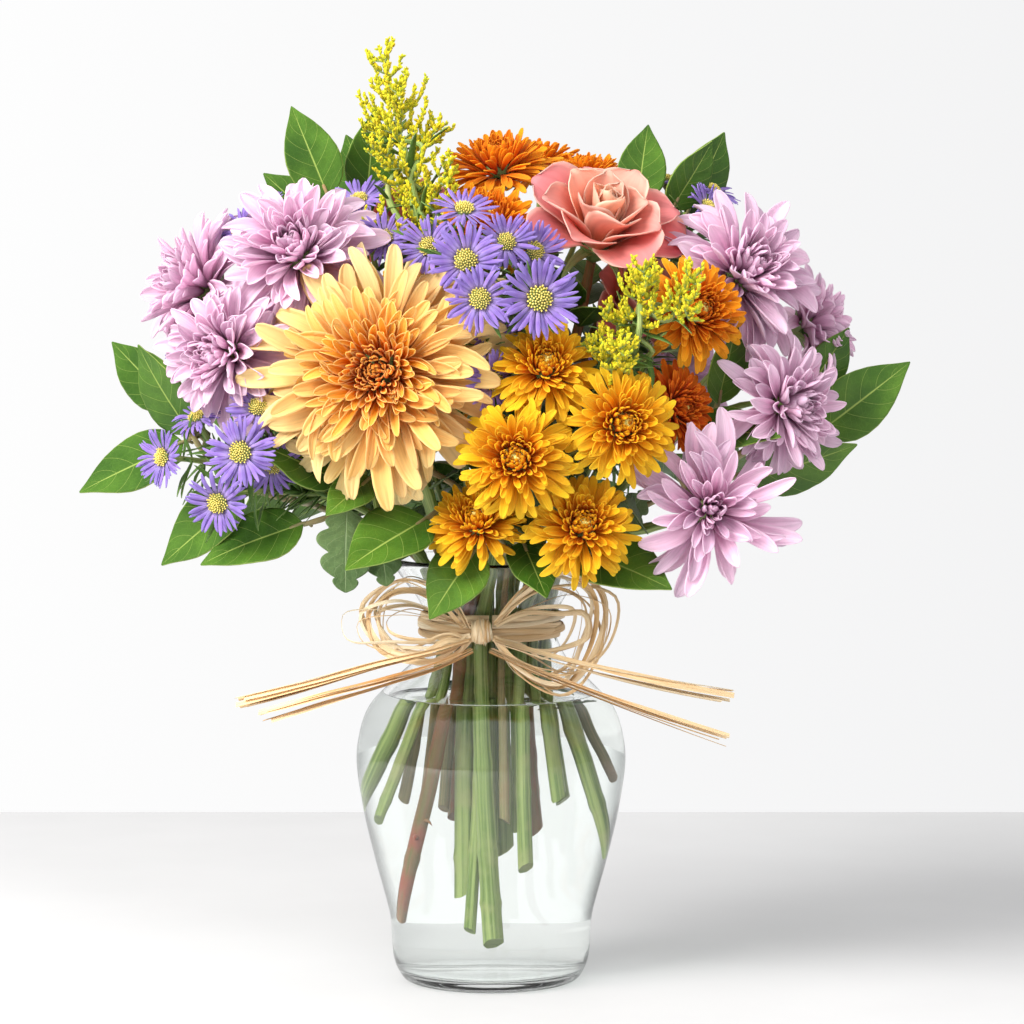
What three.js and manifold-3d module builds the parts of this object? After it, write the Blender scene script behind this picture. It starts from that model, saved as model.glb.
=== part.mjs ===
// A mixed bouquet of cut chrysanthemums, asters, roses, goldenrod and salal leaf, standing in a clear
// glass vase of water with a raffia bow tied round its neck.
// Millimetres. +Z is up, -Y is the front, and the origin is the centre of the vase's flat underside.
import * as THREE from "three";
import { mergeVertices } from "three/addons/utils/BufferGeometryUtils.js";
import Module from "manifold-3d";

const wasm = await Module();
wasm.setup();

// ---- Driving dimensions -------------------------------------------------------------------------

const FOOT_R = 36; // the flat underside
const HEEL_R = 41.5; // the rounded corner above it
const HEEL_RISE = 5;
const BELLY_R = 60.5; // the widest point
const BELLY_HEIGHT = 107; // from the table to the widest point
const SHOULDER_RISE = 52; // from the widest point to the neck
const NECK_R = 29.3; // the narrowest point, outside
const FLARE_RISE = 31; // from the neck to the rim
const RIM_R = 45;
const WALL = 3; // glass thickness
const FLOOR = 6; // glass thickness under the water
const WATER_BELOW_NECK = 30.5; // from the water's surface up to the neck

const GAP = 0.3; // left between any two pieces that touch
const SPREAD = 1; // how far the bouquet reaches, as a multiple of the places given below
const LEAF_THICKNESS = 1;
const BRANCH_R = 1.3; // the side shoots that carry single heads and leaves
const FINENESS = 0.1; // how far a cut surface may be straightened, well inside the gap

const NECK_HEIGHT = BELLY_HEIGHT + SHOULDER_RISE;
const RIM_HEIGHT = NECK_HEIGHT + FLARE_RISE;
const NECK_BORE = NECK_R - WALL;

// ---- Materials ----------------------------------------------------------------------------------

function material(color, roughness, extra = {}) {
  return new THREE.MeshStandardMaterial({ color, roughness, metalness: 0, ...extra });
}

const clearGlass = material(0xe8f0ee, 0.05, { transparent: true, opacity: 0.35 });
const water = material(0xeaf4f6, 0.02, { transparent: true, opacity: 0.3 });
const raffia = material(0xdcb684, 0.7);
const stemGreen = material(0x7f9a4a, 0.55);
const leafGreen = material(0x2f5a1c, 0.4);
const asterPurple = material(0x8a78d0, 0.6);
const goldenrodYellow = material(0xc9b92a, 0.7);
const petals = {
  peach: material(0xf3b45c, 0.6),
  gold: material(0xf4a514, 0.6),
  orange: material(0xe07a1c, 0.6),
  lavender: material(0xd9a9d2, 0.6),
  rose: material(0xee8a7e, 0.55),
};

// ---- Solids -------------------------------------------------------------------------------------

// A closed surface as a manifold-3d solid.
function solidFrom(geometry, matrix = new THREE.Matrix4()) {
  const bare = geometry.index ? geometry.toNonIndexed() : geometry.clone();
  bare.deleteAttribute("normal");
  bare.deleteAttribute("uv");
  const merged = mergeVertices(bare.applyMatrix4(matrix), 1e-4);
  return new wasm.Manifold(
    new wasm.Mesh({
      numProp: 3,
      vertProperties: merged.attributes.position.array,
      triVerts: new Uint32Array(merged.index.array),
    }),
  );
}

function geometryFrom(solid) {
  const mesh = solid.getMesh();
  return new THREE.BufferGeometry()
    .setAttribute("position", new THREE.BufferAttribute(mesh.vertProperties, 3))
    .setIndex(new THREE.BufferAttribute(mesh.triVerts, 1))
    .toNonIndexed();
}

// A profile of [radius, height] points turned about +Z.
const STAND_UP = new THREE.Matrix4().makeRotationX(Math.PI / 2);
function turned(profile, sides) {
  const points = profile.map(([radius, height]) => new THREE.Vector2(radius, height));
  return solidFrom(new THREE.LatheGeometry(points, sides), STAND_UP);
}

// A rod of one radius along a smooth curve through the points.
function rod(points, radius, { sides = 5, step = 34 } = {}) {
  const curve = new THREE.CatmullRomCurve3(points, false, "centripetal");
  const outline = new THREE.Shape();
  for (let i = 0; i < sides; i++) {
    const turn = (2 * Math.PI * i) / sides;
    outline[i ? "lineTo" : "moveTo"](radius * Math.cos(turn), radius * Math.sin(turn));
  }
  outline.closePath();
  const steps = Math.max(2, Math.floor(curve.getLength() / step));
  return solidFrom(
    new THREE.ExtrudeGeometry(outline, { steps, extrudePath: curve, bevelEnabled: false }),
  );
}

function joined(solids) {
  return wasm.Manifold.union(solids);
}

function vector([x, y, z]) {
  return new THREE.Vector3(x, y, z);
}

// A place in the bouquet, measured right, back and up from the middle of the vase's neck.
function reach(place) {
  return vector(place).multiplyScalar(SPREAD).add(new THREE.Vector3(0, 0, NECK_HEIGHT));
}

// A place round the vase's axis: degrees run from the front towards the right.
function round(radius, degrees, height) {
  const turn = THREE.MathUtils.degToRad(degrees);
  return new THREE.Vector3(radius * Math.sin(turn), -radius * Math.cos(turn), height);
}

// ---- The vase -----------------------------------------------------------------------------------

// The outside, from the edge of the flat underside up to the rim.
const outside = new THREE.Path();
outside.moveTo(FOOT_R, 0);
outside.quadraticCurveTo(HEEL_R, 0, HEEL_R, HEEL_RISE);
outside.bezierCurveTo(
  HEEL_R + 0.22 * (BELLY_R - HEEL_R), 0.4 * BELLY_HEIGHT,
  BELLY_R, 0.62 * BELLY_HEIGHT,
  BELLY_R, BELLY_HEIGHT,
);
outside.bezierCurveTo(
  BELLY_R, BELLY_HEIGHT + 0.52 * SHOULDER_RISE,
  NECK_R, NECK_HEIGHT - 0.38 * SHOULDER_RISE,
  NECK_R, NECK_HEIGHT,
);
outside.bezierCurveTo(
  NECK_R, NECK_HEIGHT + 0.5 * FLARE_RISE,
  RIM_R - 0.5 * (RIM_R - NECK_R), NECK_HEIGHT + 0.55 * FLARE_RISE,
  RIM_R, RIM_HEIGHT,
);

// The outside as [radius, height] points, moved inwards by a depth at right angles to the glass.
const STEPS_PER_CURVE = 4;
function glassLine(depth) {
  const points = outside.getPoints(STEPS_PER_CURVE);
  return points.map((point, i) => {
    const along = points[Math.min(i + 1, points.length - 1)]
      .clone()
      .sub(points[Math.max(i - 1, 0)])
      .normalize();
    return [point.x - depth * along.y, point.y + depth * along.x];
  });
}

// The part of a line between two heights, with a point exactly at each.
function between(line, low, high) {
  const kept = line.filter(([, height]) => height > low + 0.5 && height < high - 0.5);
  return [[radiusAt(line, low), low], ...kept, [radiusAt(line, high), high]];
}

function radiusAt(line, height) {
  const above = line.findIndex((point) => point[1] >= height);
  if (above < 1) return line[above < 0 ? line.length - 1 : 0][0];
  const [[r0, h0], [r1, h1]] = [line[above - 1], line[above]];
  return r0 + ((r1 - r0) * (height - h0)) / (h1 - h0);
}

const GLASS_SIDES = 24;
function vaseShape(gap) {
  const inner = between(glassLine(WALL + gap), FLOOR - gap, RIM_HEIGHT + gap).reverse();
  const outer = between(glassLine(-gap), -gap, RIM_HEIGHT + gap);
  return turned([[0, -gap], ...outer, ...inner, [0, FLOOR - gap]], GLASS_SIDES);
}

const WATER_LEVEL = NECK_HEIGHT - WATER_BELOW_NECK;
function waterShape() {
  const side = between(glassLine(WALL + GAP), FLOOR + GAP, WATER_LEVEL);
  return turned([[0, FLOOR + GAP], ...side, [0, WATER_LEVEL]], GLASS_SIDES);
}

// ---- Blooms -------------------------------------------------------------------------------------

// A bloom's body, facing +Z: a calyx behind, petals spreading to the rim, and a flat crown in front.
function calyx(radius, back) {
  return [[0.24 * radius, -back], [0.62 * radius, -0.6 * back]];
}

function bloomShape({ radius, back, front, sides = 12 }) {
  return (gap) =>
    turned(
      [
        [0, -back - gap],
        ...(sides > 8 ? calyx(radius, back).map(([r, height]) => [r + gap, height - gap]) : []),
        [radius + gap, 0],
        [0.5 * radius + gap, front + gap],
        [0, front + gap],
      ],
      sides,
    );
}

const KINDS = {
  peach: { radius: 43, back: 24, front: 13, sides: 16 },
  gold: { radius: 20.5, back: 12, front: 8 },
  orange: { radius: 20.5, back: 12, front: 7 },
  lavender: { radius: 26, back: 15, front: 8 },
  rose: { radius: 25, back: 25, front: 12 },
  aster: { radius: 12, back: 6, front: 2.5, sides: 8 },
};

// Each single bloom: its name, kind, place, the way it faces, and its size against its kind's.
const BLOOMS = [
  ["peach_mum", "peach", [-48, -88, 119], [-0.16, -1, 0.06], 1],
  ["gold_mum_1", "gold", [24, -86, 122], [0.05, -0.85, 0.5], 1],
  ["gold_mum_2", "gold", [11, -102, 83], [-0.05, -1, 0.18], 1.08],
  ["gold_mum_3", "gold", [57, -97, 97], [0.22, -1, 0.14], 1.04],
  ["gold_mum_4", "gold", [40, -88, 54], [0.12, -0.92, 0.3], 1],
  ["gold_mum_5", "gold", [-6, -76, 55], [-0.15, -0.75, 0.6], 0.92],
  ["gold_mum_6", "gold", [-38, 72, 148], [-0.35, 0.9, 0.45], 1],
  ["gold_mum_7", "gold", [-8, 92, 104], [-0.1, 1, 0.2], 1.08],
  ["orange_mum_1", "orange", [3, -12, 211], [-0.1, -0.35, 1], 1.15],
  ["orange_mum_2", "orange", [0, -48, 184], [0.05, -0.75, 0.75], 1],
  ["orange_mum_3", "orange", [43, 14, 206], [0.1, -0.1, 1], 0.9],
  ["orange_mum_4", "orange", [22, 44, 212], [0, 0.3, 1], 0.88],
  ["orange_mum_5", "orange", [90, -72, 145], [0.45, -1, 0.25], 1.02],
  ["orange_mum_6", "orange", [82, -70, 103], [0.7, -0.8, 0.1], 0.85],
  ["lavender_mum_1", "lavender", [-84, -56, 172], [-0.15, -0.9, 0.45], 1.06],
  ["lavender_mum_2", "lavender", [-133, -12, 156], [-0.9, -0.35, 0.35], 1.06],
  ["lavender_mum_3", "lavender", [-117, -58, 126], [-0.6, -0.85, 0.05], 0.95],
  ["lavender_mum_4", "lavender", [113, -45, 162], [0.45, -0.8, 0.4], 1.04],
  ["lavender_mum_5", "lavender", [147, -5, 138], [0.95, -0.1, 0.25], 0.85],
  ["lavender_mum_6", "lavender", [131, -60, 104], [0.65, -0.8, 0], 0.88],
  ["lavender_mum_7", "lavender", [95, -82, 60], [0.1, -1, 0.12], 1.15],
  ["lavender_mum_8", "lavender", [84, 66, 108], [0.6, 0.9, 0.15], 1],
  ["lavender_mum_9", "lavender", [-80, 72, 104], [-0.6, 0.9, 0.15], 1.04],
  ["rose_1", "rose", [50, -46, 188], [0.2, -0.6, 0.8], 1.08],
  ["rose_2", "rose", [68, -12, 150], [0.75, -0.65, 0.35], 0.85],
  ["rose_3", "rose", [-42, 40, 186], [-0.4, 0.4, 0.85], 0.9],
];

// The point behind a bloom where its stalk ends.
function backOf(kind, place, facing, scale) {
  const behind = KINDS[kind].back * scale + GAP;
  return reach(place).addScaledVector(vector(facing).normalize(), -behind);
}

// ---- Stems --------------------------------------------------------------------------------------

// Stems stand in three rings where they pass the neck.
const RINGS = { outer: NECK_BORE - 4.8, middle: 0.48 * NECK_BORE, inner: 0.165 * NECK_BORE };

// Each cut stem: its name, radius, seat in the neck [ring, degrees], cut end in the water [radius,
// degrees, height above the glass floor], and the place where it branches.
const STEMS = [
  ["gold_mum_stem", 3.8, ["outer", -12], [16, 4, 15], [8, -56, 62]],
  ["salal_front", 1.9, ["outer", 12], [20, 15, 72], [10, -47, 40]],
  ["rose_1_stem", 3, ["outer", -36], [39, -70, 25], [38, -30, 134]],
  ["lavender_mum_stem_low", 2.8, ["outer", 36], [21, 38, 51], [62, -52, 48]],
  ["aster_spray_left", 2.4, ["outer", -60], [44, -78, 70], [-72, -42, 64]],
  ["orange_mum_stem_right", 2.8, ["outer", 60], [28, 62, 82], [56, -44, 88]],
  ["lavender_mum_stem_left", 3.4, ["outer", -84], [48, -97, 75], [-78, -24, 96]],
  ["lavender_mum_stem_right", 3.7, ["outer", 84], [48, 80, 52], [84, -22, 90]],
  ["salal_left", 1.9, ["outer", -108], [30, -111, 79], [-92, -12, 60]],
  ["salal_right", 1.9, ["outer", 108], [42, 100, 87], [92, -6, 66]],
  ["salal_back", 1.9, ["outer", -132], [27, -134, 84], [-46, 44, 56]],
  ["aster_spray_back", 2.2, ["outer", 132], [29, 131, 78], [54, 44, 86]],
  ["gold_mum_stem_back", 3, ["outer", -156], [24, -155, 76], [-18, 46, 88]],
  ["lavender_mum_stem_back", 3, ["outer", 156], [25, 152, 74], [22, 46, 60]],
  ["peach_mum_stem", 3.8, ["middle", -45], [11, -55, 40], [-36, -50, 92]],
  ["goldenrod_tall", 2.2, ["middle", -15], [15, -31, 21], [-20, -26, 150]],
  ["goldenrod_right", 2, ["middle", 45], [13, 45, 68], [48, -52, 116]],
  ["rose_2_stem", 2.8, ["middle", 90], [15, 86, 66], [38, -2, 100]],
  ["goldenrod_back", 2, ["middle", 135], [17, 131, 80], [14, 34, 120]],
  ["rose_3_stem", 2.8, ["middle", -135], [15, -132, 72], [-22, 30, 126]],
  ["salal_top", 1.9, ["middle", -90], [16, -94, 76], [-44, -4, 128]],
  ["aster_spray_centre", 2.2, ["inner", 0], [5, 4, 62], [-2, -50, 116]],
  ["orange_mum_stem_top", 3.2, ["inner", 120], [5, 120, 58], [14, -4, 140]],
  ["aster_spray_top", 2, ["inner", -120], [6, -120, 74], [-46, -22, 136]],
];

// What each branched stem carries, by stem: single blooms are named, and the rest are placed here.
const CARRIES = {
  gold_mum_stem: ["gold_mum_1", "gold_mum_2", "gold_mum_3", "gold_mum_4", "gold_mum_5"],
  gold_mum_stem_back: ["gold_mum_6", "gold_mum_7"],
  orange_mum_stem_top: ["orange_mum_1", "orange_mum_2", "orange_mum_3", "orange_mum_4"],
  orange_mum_stem_right: ["orange_mum_5", "orange_mum_6"],
  lavender_mum_stem_left: ["lavender_mum_1", "lavender_mum_2", "lavender_mum_3"],
  lavender_mum_stem_right: ["lavender_mum_4", "lavender_mum_5", "lavender_mum_6"],
  lavender_mum_stem_low: ["lavender_mum_7"],
  lavender_mum_stem_back: ["lavender_mum_8", "lavender_mum_9"],
  peach_mum_stem: ["peach_mum"],
  rose_1_stem: ["rose_1"],
  rose_2_stem: ["rose_2"],
  rose_3_stem: ["rose_3"],
};

// Aster heads, by spray: place, facing and size against the kind's.
const ASTERS = {
  aster_spray_centre: [
    [[-26, -74, 172], [-0.3, -1, 0.2], 1],
    [[-10, -91, 166], [-0.05, -1, 0.15], 1.2],
    [[-11, -72, 188], [0.1, -0.6, 0.8], 1],
    [[7, -80, 174], [0.2, -1, 0.3], 0.95],
    [[19, -72, 170], [0.4, -1, 0.25], 1],
    [[-4, -99, 150], [0, -1, 0.1], 1.1],
    [[21, -99, 150], [0.1, -1, 0.05], 1.3],
    [[1, -84, 115], [0.55, -0.85, -0.1], 1],
    [[2, -74, 134], [0.5, -0.9, 0.2], 0.9],
  ],
  aster_spray_left: [
    [[-142, -60, 81], [-0.7, -0.8, 0.1], 0.95],
    [[-128, -50, 98], [-0.4, -0.5, 0.8], 0.9],
    [[-107, -76, 84], [-0.2, -1, 0.1], 1.15],
    [[-100, -68, 103], [0, -1, 0.4], 0.95],
    [[-117, -72, 62], [-0.3, -1, -0.15], 1.05],
    [[-94, -62, 78], [0.2, -1, -0.1], 0.95],
  ],
  aster_spray_top: [
    [[-103, 0, 188], [-0.5, -0.3, 0.8], 0.95],
    [[-112, -12, 180], [-0.8, -0.4, 0.5], 0.9],
    [[-58, -26, 193], [-0.2, -0.6, 0.8], 0.95],
    [[-46, -46, 176], [-0.2, -1, 0.4], 0.9],
    [[-143, 12, 122], [-1, 0.1, 0.1], 0.85],
  ],
  aster_spray_back: [
    [[100, 8, 198], [0.5, -0.3, 0.9], 0.9],
    [[80, 20, 203], [0, -0.2, 1], 0.8],
    [[97, -6, 190], [0.6, -0.7, 0.5], 0.85],
    [[54, 88, 118], [0.3, 1, 0.1], 1.1],
    [[44, 94, 98], [0.2, 1, -0.2], 1],
    [[70, 88, 84], [0.5, 1, -0.1], 1],
  ],
};

// Salal leaves, by twig: the leaf's base, its tip, and the way its upper side faces.
const LEAVES = {
  salal_left: [
    [[-141, -16, 101], [-169, -8, 131], [-0.4, -0.9, 0.3]],
    [[-132, -30, 90], [-157, -34, 128], [-0.7, -0.7, 0.2]],
    [[-136, -28, 86], [-182, -30, 64], [-0.1, -0.8, 0.6]],
    [[-110, -42, 66], [-142, -48, 30], [-0.4, -0.8, 0.5]],
    [[-82, -52, 52], [-126, -62, 36], [0, -0.75, 0.65]],
    [[-68, -50, 72], [-102, -72, 88], [-0.1, -0.8, 0.6]],
  ],
  salal_right: [
    [[146, -22, 90], [186, -26, 121], [0.2, -0.9, 0.3]],
    [[137, -18, 106], [160, -20, 136], [0.3, -0.9, -0.2]],
    [[115, -36, 70], [161, -40, 86], [0.1, -0.85, -0.5]],
    [[88, -48, 92], [125, -72, 92], [0.1, -0.8, 0.6]],
    [[99, -40, 104], [108, -46, 142], [0.6, -0.8, 0.1]],
    [[128, 14, 84], [168, 26, 98], [0.2, 0.7, 0.7]],
  ],
  salal_top: [
    [[-72, -14, 194], [-89, -6, 235], [0, -0.95, 0.2]],
    [[-56, -2, 192], [-53, 6, 234], [0.3, -0.95, 0.1]],
    [[-70, 14, 176], [-104, 34, 206], [-0.6, 0.6, 0.6]],
    [[-52, 22, 190], [-66, 46, 224], [-0.3, 0.8, 0.5]],
  ],
  salal_front: [
    [[-28, -62, 54], [-62, -92, 36], [-0.1, -0.75, 0.65]],
    [[-6, -63, 44], [-27, -82, 14], [-0.1, -0.95, 0.25]],
    [[40, -54, 40], [77, -82, 26], [0.1, -0.8, 0.6]],
    [[-52, -62, 72], [-70, -80, 57], [-0.4, -0.9, 0.1]],
    [[14, -62, 44], [24, -86, 22], [0.2, -0.8, 0.5]],
  ],
  salal_back: [
    [[-60, 62, 64], [-96, 92, 44], [-0.2, 0.7, 0.7]],
    [[-26, 78, 58], [-40, 112, 34], [0, 0.6, 0.8]],
    [[-96, 52, 84], [-136, 74, 96], [-0.4, 0.8, 0.4]],
    [[-108, 30, 110], [-146, 40, 136], [-0.7, 0.6, 0.4]],
    [[-84, 44, 70], [-118, 58, 44], [-0.5, 0.7, 0.5]],
  ],
  aster_spray_back: [
    [[68, 2, 192], [67, 14, 228], [0.1, -0.95, 0.2]],
    [[80, 0, 190], [100, -2, 219], [0.6, -0.8, 0.1]],
    [[84, 6, 190], [111, 14, 221], [0.4, -0.9, -0.3]],
    [[40, 62, 62], [64, 94, 40], [0.1, 0.7, 0.7]],
    [[78, 56, 74], [112, 82, 58], [0.4, 0.7, 0.6]],
  ],
  goldenrod_back: [[[26, 66, 52], [30, 104, 34], [0, 0.6, 0.8]]],
};

// Lobed chrysanthemum leaves on the mums' own stems, given as the salal leaves are.
const MUM_LEAVES = {
  lavender_mum_stem_left: [
    [[-62, -58, 58], [-64, -74, 24], [0.1, -0.95, 0.3]],
    [[-48, -56, 50], [-45, -68, 26], [0, -0.95, 0.2]],
  ],
  lavender_mum_stem_back: [
    [[0, 66, 62], [8, 92, 36], [0, 0.8, 0.6]],
  ],
  lavender_mum_stem_right: [
    [[92, 24, 84], [118, 48, 68], [0.5, 0.7, 0.6]],
  ],
};

// Goldenrod plumes, by spray: the foot and tip of the flowering axis, how many side plumes it
// bears, and their length at the foot.
const PLUMES = {
  goldenrod_tall: [[[-27, -40, 172], [-50, -5, 263], 7, 38]],
  goldenrod_right: [
    [[62, -80, 134], [66, -98, 166], 3, 20],
    [[72, -84, 136], [88, -104, 162], 2, 18],
    [[52, -82, 124], [55, -104, 130], 2, 16],
  ],
  goldenrod_back: [[[-4, 62, 150], [-10, 84, 196], 4, 26]],
};

// The rod of a stem from its cut end, up through the neck and clear of the rim, to where it branches.
function stemLine([, radius, [ring, seatAt], [footR, footAt, footHeight], fork]) {
  const seat = round(RINGS[ring], seatAt, NECK_HEIGHT);
  const foot = round(footR, footAt, FLOOR + footHeight);
  const end = reach(fork);
  const leaving = NECK_HEIGHT + FLARE_RISE + radius + 3;
  const exit = seat.clone().lerp(end, (leaving - seat.z) / (end.z - seat.z));
  const sideways = Math.hypot(exit.x, exit.y);
  const room = RIM_R - WALL - radius - 4;
  if (sideways > room) exit.set((exit.x * room) / sideways, (exit.y * room) / sideways, exit.z);
  const below = seat.clone().setZ(NECK_HEIGHT - 0.35 * SHOULDER_RISE);
  return [foot, below.lerp(foot, 0.12), seat, exit, end];
}

// A side shoot from a fork to a head or leaf, arriving along the way that it points.
function shoot(fork, end, pointing, gap) {
  const bend = end.clone().addScaledVector(pointing, -0.4 * fork.distanceTo(end));
  const half = 0.5 * fork.distanceTo(end);
  return rod([fork, bend.lerp(fork, 0.25), end], BRANCH_R + gap, { sides: 4, step: half });
}

const bloomNamed = new Map(BLOOMS.map((bloom) => [bloom[0], bloom]));

// Every place where a stem ends in a bloom, leaf or plume: the point, and the way it points.
function endsOf(name) {
  const blooms = (CARRIES[name] ?? []).map((carried) => {
    const [, kind, place, facing, scale] = bloomNamed.get(carried);
    return [backOf(kind, place, facing, scale), vector(facing).normalize()];
  });
  const heads = (ASTERS[name] ?? []).map(([place, facing, scale]) => [
    backOf("aster", place, facing, scale).addScaledVector(vector(facing).normalize(), 1),
    vector(facing).normalize(),
  ]);
  const leaves = [...(LEAVES[name] ?? []), ...(MUM_LEAVES[name] ?? [])].map(([base, tip]) => {
    const along = reach(tip).sub(reach(base)).normalize();
    return [reach(base).addScaledVector(along, 4), along];
  });
  const plumes = (PLUMES[name] ?? []).map(([foot, tip]) => {
    const along = reach(tip).sub(reach(foot)).normalize();
    return [reach(foot).addScaledVector(along, 2), along];
  });
  return [...blooms, ...heads, ...leaves, ...plumes];
}

function stemShape(stem) {
  const [name, radius, , , fork] = stem;
  return (gap) => {
    const line = stemLine(stem);
    const ends = endsOf(name);
    const alone = ends.length === 1;
    const lead = alone ? [ends[0][0].clone().addScaledVector(ends[0][1], -12), ends[0][0]] : [];
    return joined([
      rod([...line, ...lead], radius + gap),
      ...(alone ? [] : ends.map(([end, pointing]) => shoot(reach(fork), end, pointing, gap))),
    ]);
  };
}

// ---- What grows on the sprays -------------------------------------------------------------------

// The turn that points +Z along a direction.
function facingMatrix(place, facing) {
  const turn = new THREE.Quaternion().setFromUnitVectors(
    new THREE.Vector3(0, 0, 1),
    vector(facing).normalize(),
  );
  return new THREE.Matrix4().compose(place, turn, new THREE.Vector3(1, 1, 1));
}

function scaled(kind, scale) {
  const { radius, back, front, sides } = KINDS[kind];
  return { radius: radius * scale, back: back * scale, front: front * scale, sides };
}

function asterHead([place, facing, scale], gap) {
  return bloomShape(scaled("aster", scale))(gap).transform(facingMatrix(reach(place), facing).elements);
}

// A flat leaf plate from its base to its tip, widest a third of the way along.
const LEAF_WIDTH = 0.58; // of its length
function leafPlate([base, tip, upper], gap) {
  const from = reach(base);
  const along = reach(tip).sub(from);
  const length = along.length();
  along.normalize();
  const up = vector(upper);
  up.addScaledVector(along, -up.dot(along)).normalize();
  const across = new THREE.Vector3().crossVectors(up, along);
  const half = 0.5 * LEAF_WIDTH * length + gap;
  const outline = new THREE.Shape();
  outline.moveTo(-gap, 0);
  outline.bezierCurveTo(0.05 * length, -1.3 * half, 0.62 * length, -1.25 * half, length + gap, 0);
  outline.bezierCurveTo(0.62 * length, 1.25 * half, 0.05 * length, 1.3 * half, -gap, 0);
  const thick = LEAF_THICKNESS + 2 * gap;
  const plate = new THREE.ExtrudeGeometry(outline, {
    depth: thick,
    bevelEnabled: false,
    curveSegments: 3,
  }).translate(0, 0, -0.5 * thick);
  const frame = new THREE.Matrix4().makeBasis(along, across, up).setPosition(from);
  return solidFrom(plate, frame);
}

// One plume of florets: a spindle whose flat end is its tip.
const PLUME_SLIMNESS = 4; // length against its radius
function plume(from, along, length, gap) {
  const radius = length / PLUME_SLIMNESS;
  const profile = [
    [0, -gap],
    [radius + gap, 0.45 * length],
    [0.5 * radius + gap, length + gap],
    [0, length + gap],
  ];
  return turned(profile, 5).transform(facingMatrix(from, along.toArray()).elements);
}

// A flowering axis with side plumes that shorten towards its tip, each a golden angle on from the last.
const GOLDEN_ANGLE = THREE.MathUtils.degToRad(137.5);
function plumeHead([foot, tip, count, longest], gap) {
  const start = reach(foot);
  const axis = reach(tip).sub(start);
  const height = axis.length();
  axis.normalize();
  const side = new THREE.Vector3(0, -1, 0).cross(axis).normalize();
  const upTo = (share) => start.clone().addScaledVector(axis, share * height);
  const parts = [
    plume(upTo(0.5), axis, 0.5 * height, gap),
    rod([start, upTo(0.7)], BRANCH_R + gap, { sides: 4, step: height }),
  ];
  for (let i = 0; i < count; i++) {
    const up = i / count;
    const out = side.clone().applyAxisAngle(axis, i * GOLDEN_ANGLE);
    const along = axis.clone().multiplyScalar(0.75).add(out).normalize();
    parts.push(plume(upTo(0.72 * up), along, longest * (1 - 0.55 * up), gap));
  }
  return joined(parts);
}

function growthShape(name) {
  const kinds = [
    [ASTERS, asterHead],
    [LEAVES, leafPlate],
    [MUM_LEAVES, leafPlate],
    [PLUMES, plumeHead],
  ];
  return (gap) =>
    joined(kinds.flatMap(([table, make]) => (table[name] ?? []).map((entry) => make(entry, gap))));
}

// ---- The raffia bow -----------------------------------------------------------------------------

const BAND_WIDTH = 9;
const BAND_THICKNESS = 2.2;
const BOW_HEIGHT = NECK_HEIGHT + 3; // the middle of the band and of the knot
const KNOT = new THREE.Vector3(4.6, 4, 5.6); // its half sizes
const LOOP_R = 2.4; // the bundle of strands in a loop
const TAIL_R = 2.4; // the bundle of strands in a tail

// The band just clears the widest glass that it lies on.
const bandLow = BOW_HEIGHT - BAND_WIDTH / 2;
const bandHigh = BOW_HEIGHT + BAND_WIDTH / 2;
const bandBore = Math.max(...between(glassLine(-GAP), bandLow, bandHigh).map(([radius]) => radius));
const bandOuter = bandBore + BAND_THICKNESS;
function bandShape() {
  const corners = [[bandBore, bandLow], [bandOuter, bandLow], [bandOuter, bandHigh], [bandBore, bandHigh]];
  return turned([...corners, corners[0]], GLASS_SIDES);
}

const knotAt = new THREE.Vector3(-4, -bandOuter - KNOT.y - 2 * GAP, BOW_HEIGHT);

function knotShape(gap) {
  const ball = new THREE.SphereGeometry(1, 12, 8);
  return solidFrom(
    ball,
    new THREE.Matrix4().makeScale(KNOT.x + gap, KNOT.y + gap, KNOT.z + gap).setPosition(knotAt),
  );
}

// A bundle of strands through points measured right, back and up from the knot.
function bundle(line, radius) {
  return rod(line.map((point) => vector(point).add(knotAt)), radius, { sides: 8, step: 3 * radius });
}

const LOOPS = {
  raffia_loop_left: [
    [-6, -1, 2], [-20, -4, 9], [-42, -1, 13], [-58, 3, 6],
    [-54, 2, -3], [-34, -4, -7], [-15, -5, -5], [-6, -3, -3],
  ],
  raffia_loop_right: [
    [6, -1, 3], [20, -4, 10], [38, -1, 15], [53, 3, 9],
    [52, 2, -6], [38, -2, -14], [18, -5, -9], [6, -3, -3],
  ],
};

// The free ends, out from the knot and drooping a little towards their tips.
const TAILS = [
  [[-6, -5, -4], [-20, -10, -8], [-46, -12, -14], [-74, -10, -22], [-108, -2, -31]],
  [[-4, -6, -8], [-18, -11, -14], [-42, -15, -21], [-68, -15, -28], [-97, -11, -37]],
  [[6, -5, -4], [20, -10, -8], [46, -12, -15], [76, -8, -22], [111, 2, -29]],
  [[4, -6, -8], [18, -11, -14], [44, -15, -24], [74, -15, -35], [108, -10, -47]],
];

// ---- Putting it together ------------------------------------------------------------------------

const vaseGroup = new THREE.Group();
const bouquetGroup = new THREE.Group();
const object = new THREE.Group();
object.add(vaseGroup, bouquetGroup);

// Everything that is in place already, grown by the gap, for what comes later to stay clear of.
const inPlace = [];

function overlapping(a, b) {
  return a.min.every((low, i) => low < b.max[i] && b.min[i] < a.max[i]);
}

// A solid with the room of every other piece's solids taken out of it.
function clearOf(solid, owner) {
  const box = solid.boundingBox();
  const near = inPlace.filter((other) => other.owner !== owner && overlapping(box, other.box));
  return near.reduce((left, other) => left.subtract(other.grown), solid);
}

function keepRoom(owner, grown) {
  inPlace.push({ owner, grown, box: grown.boundingBox() });
}

// The solid without the crumbs that a cut can leave beside it.
function wholeOf(solid) {
  const bodies = solid.decompose();
  return bodies.reduce((most, body) => (body.volume() > most.volume() ? body : most));
}

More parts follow.
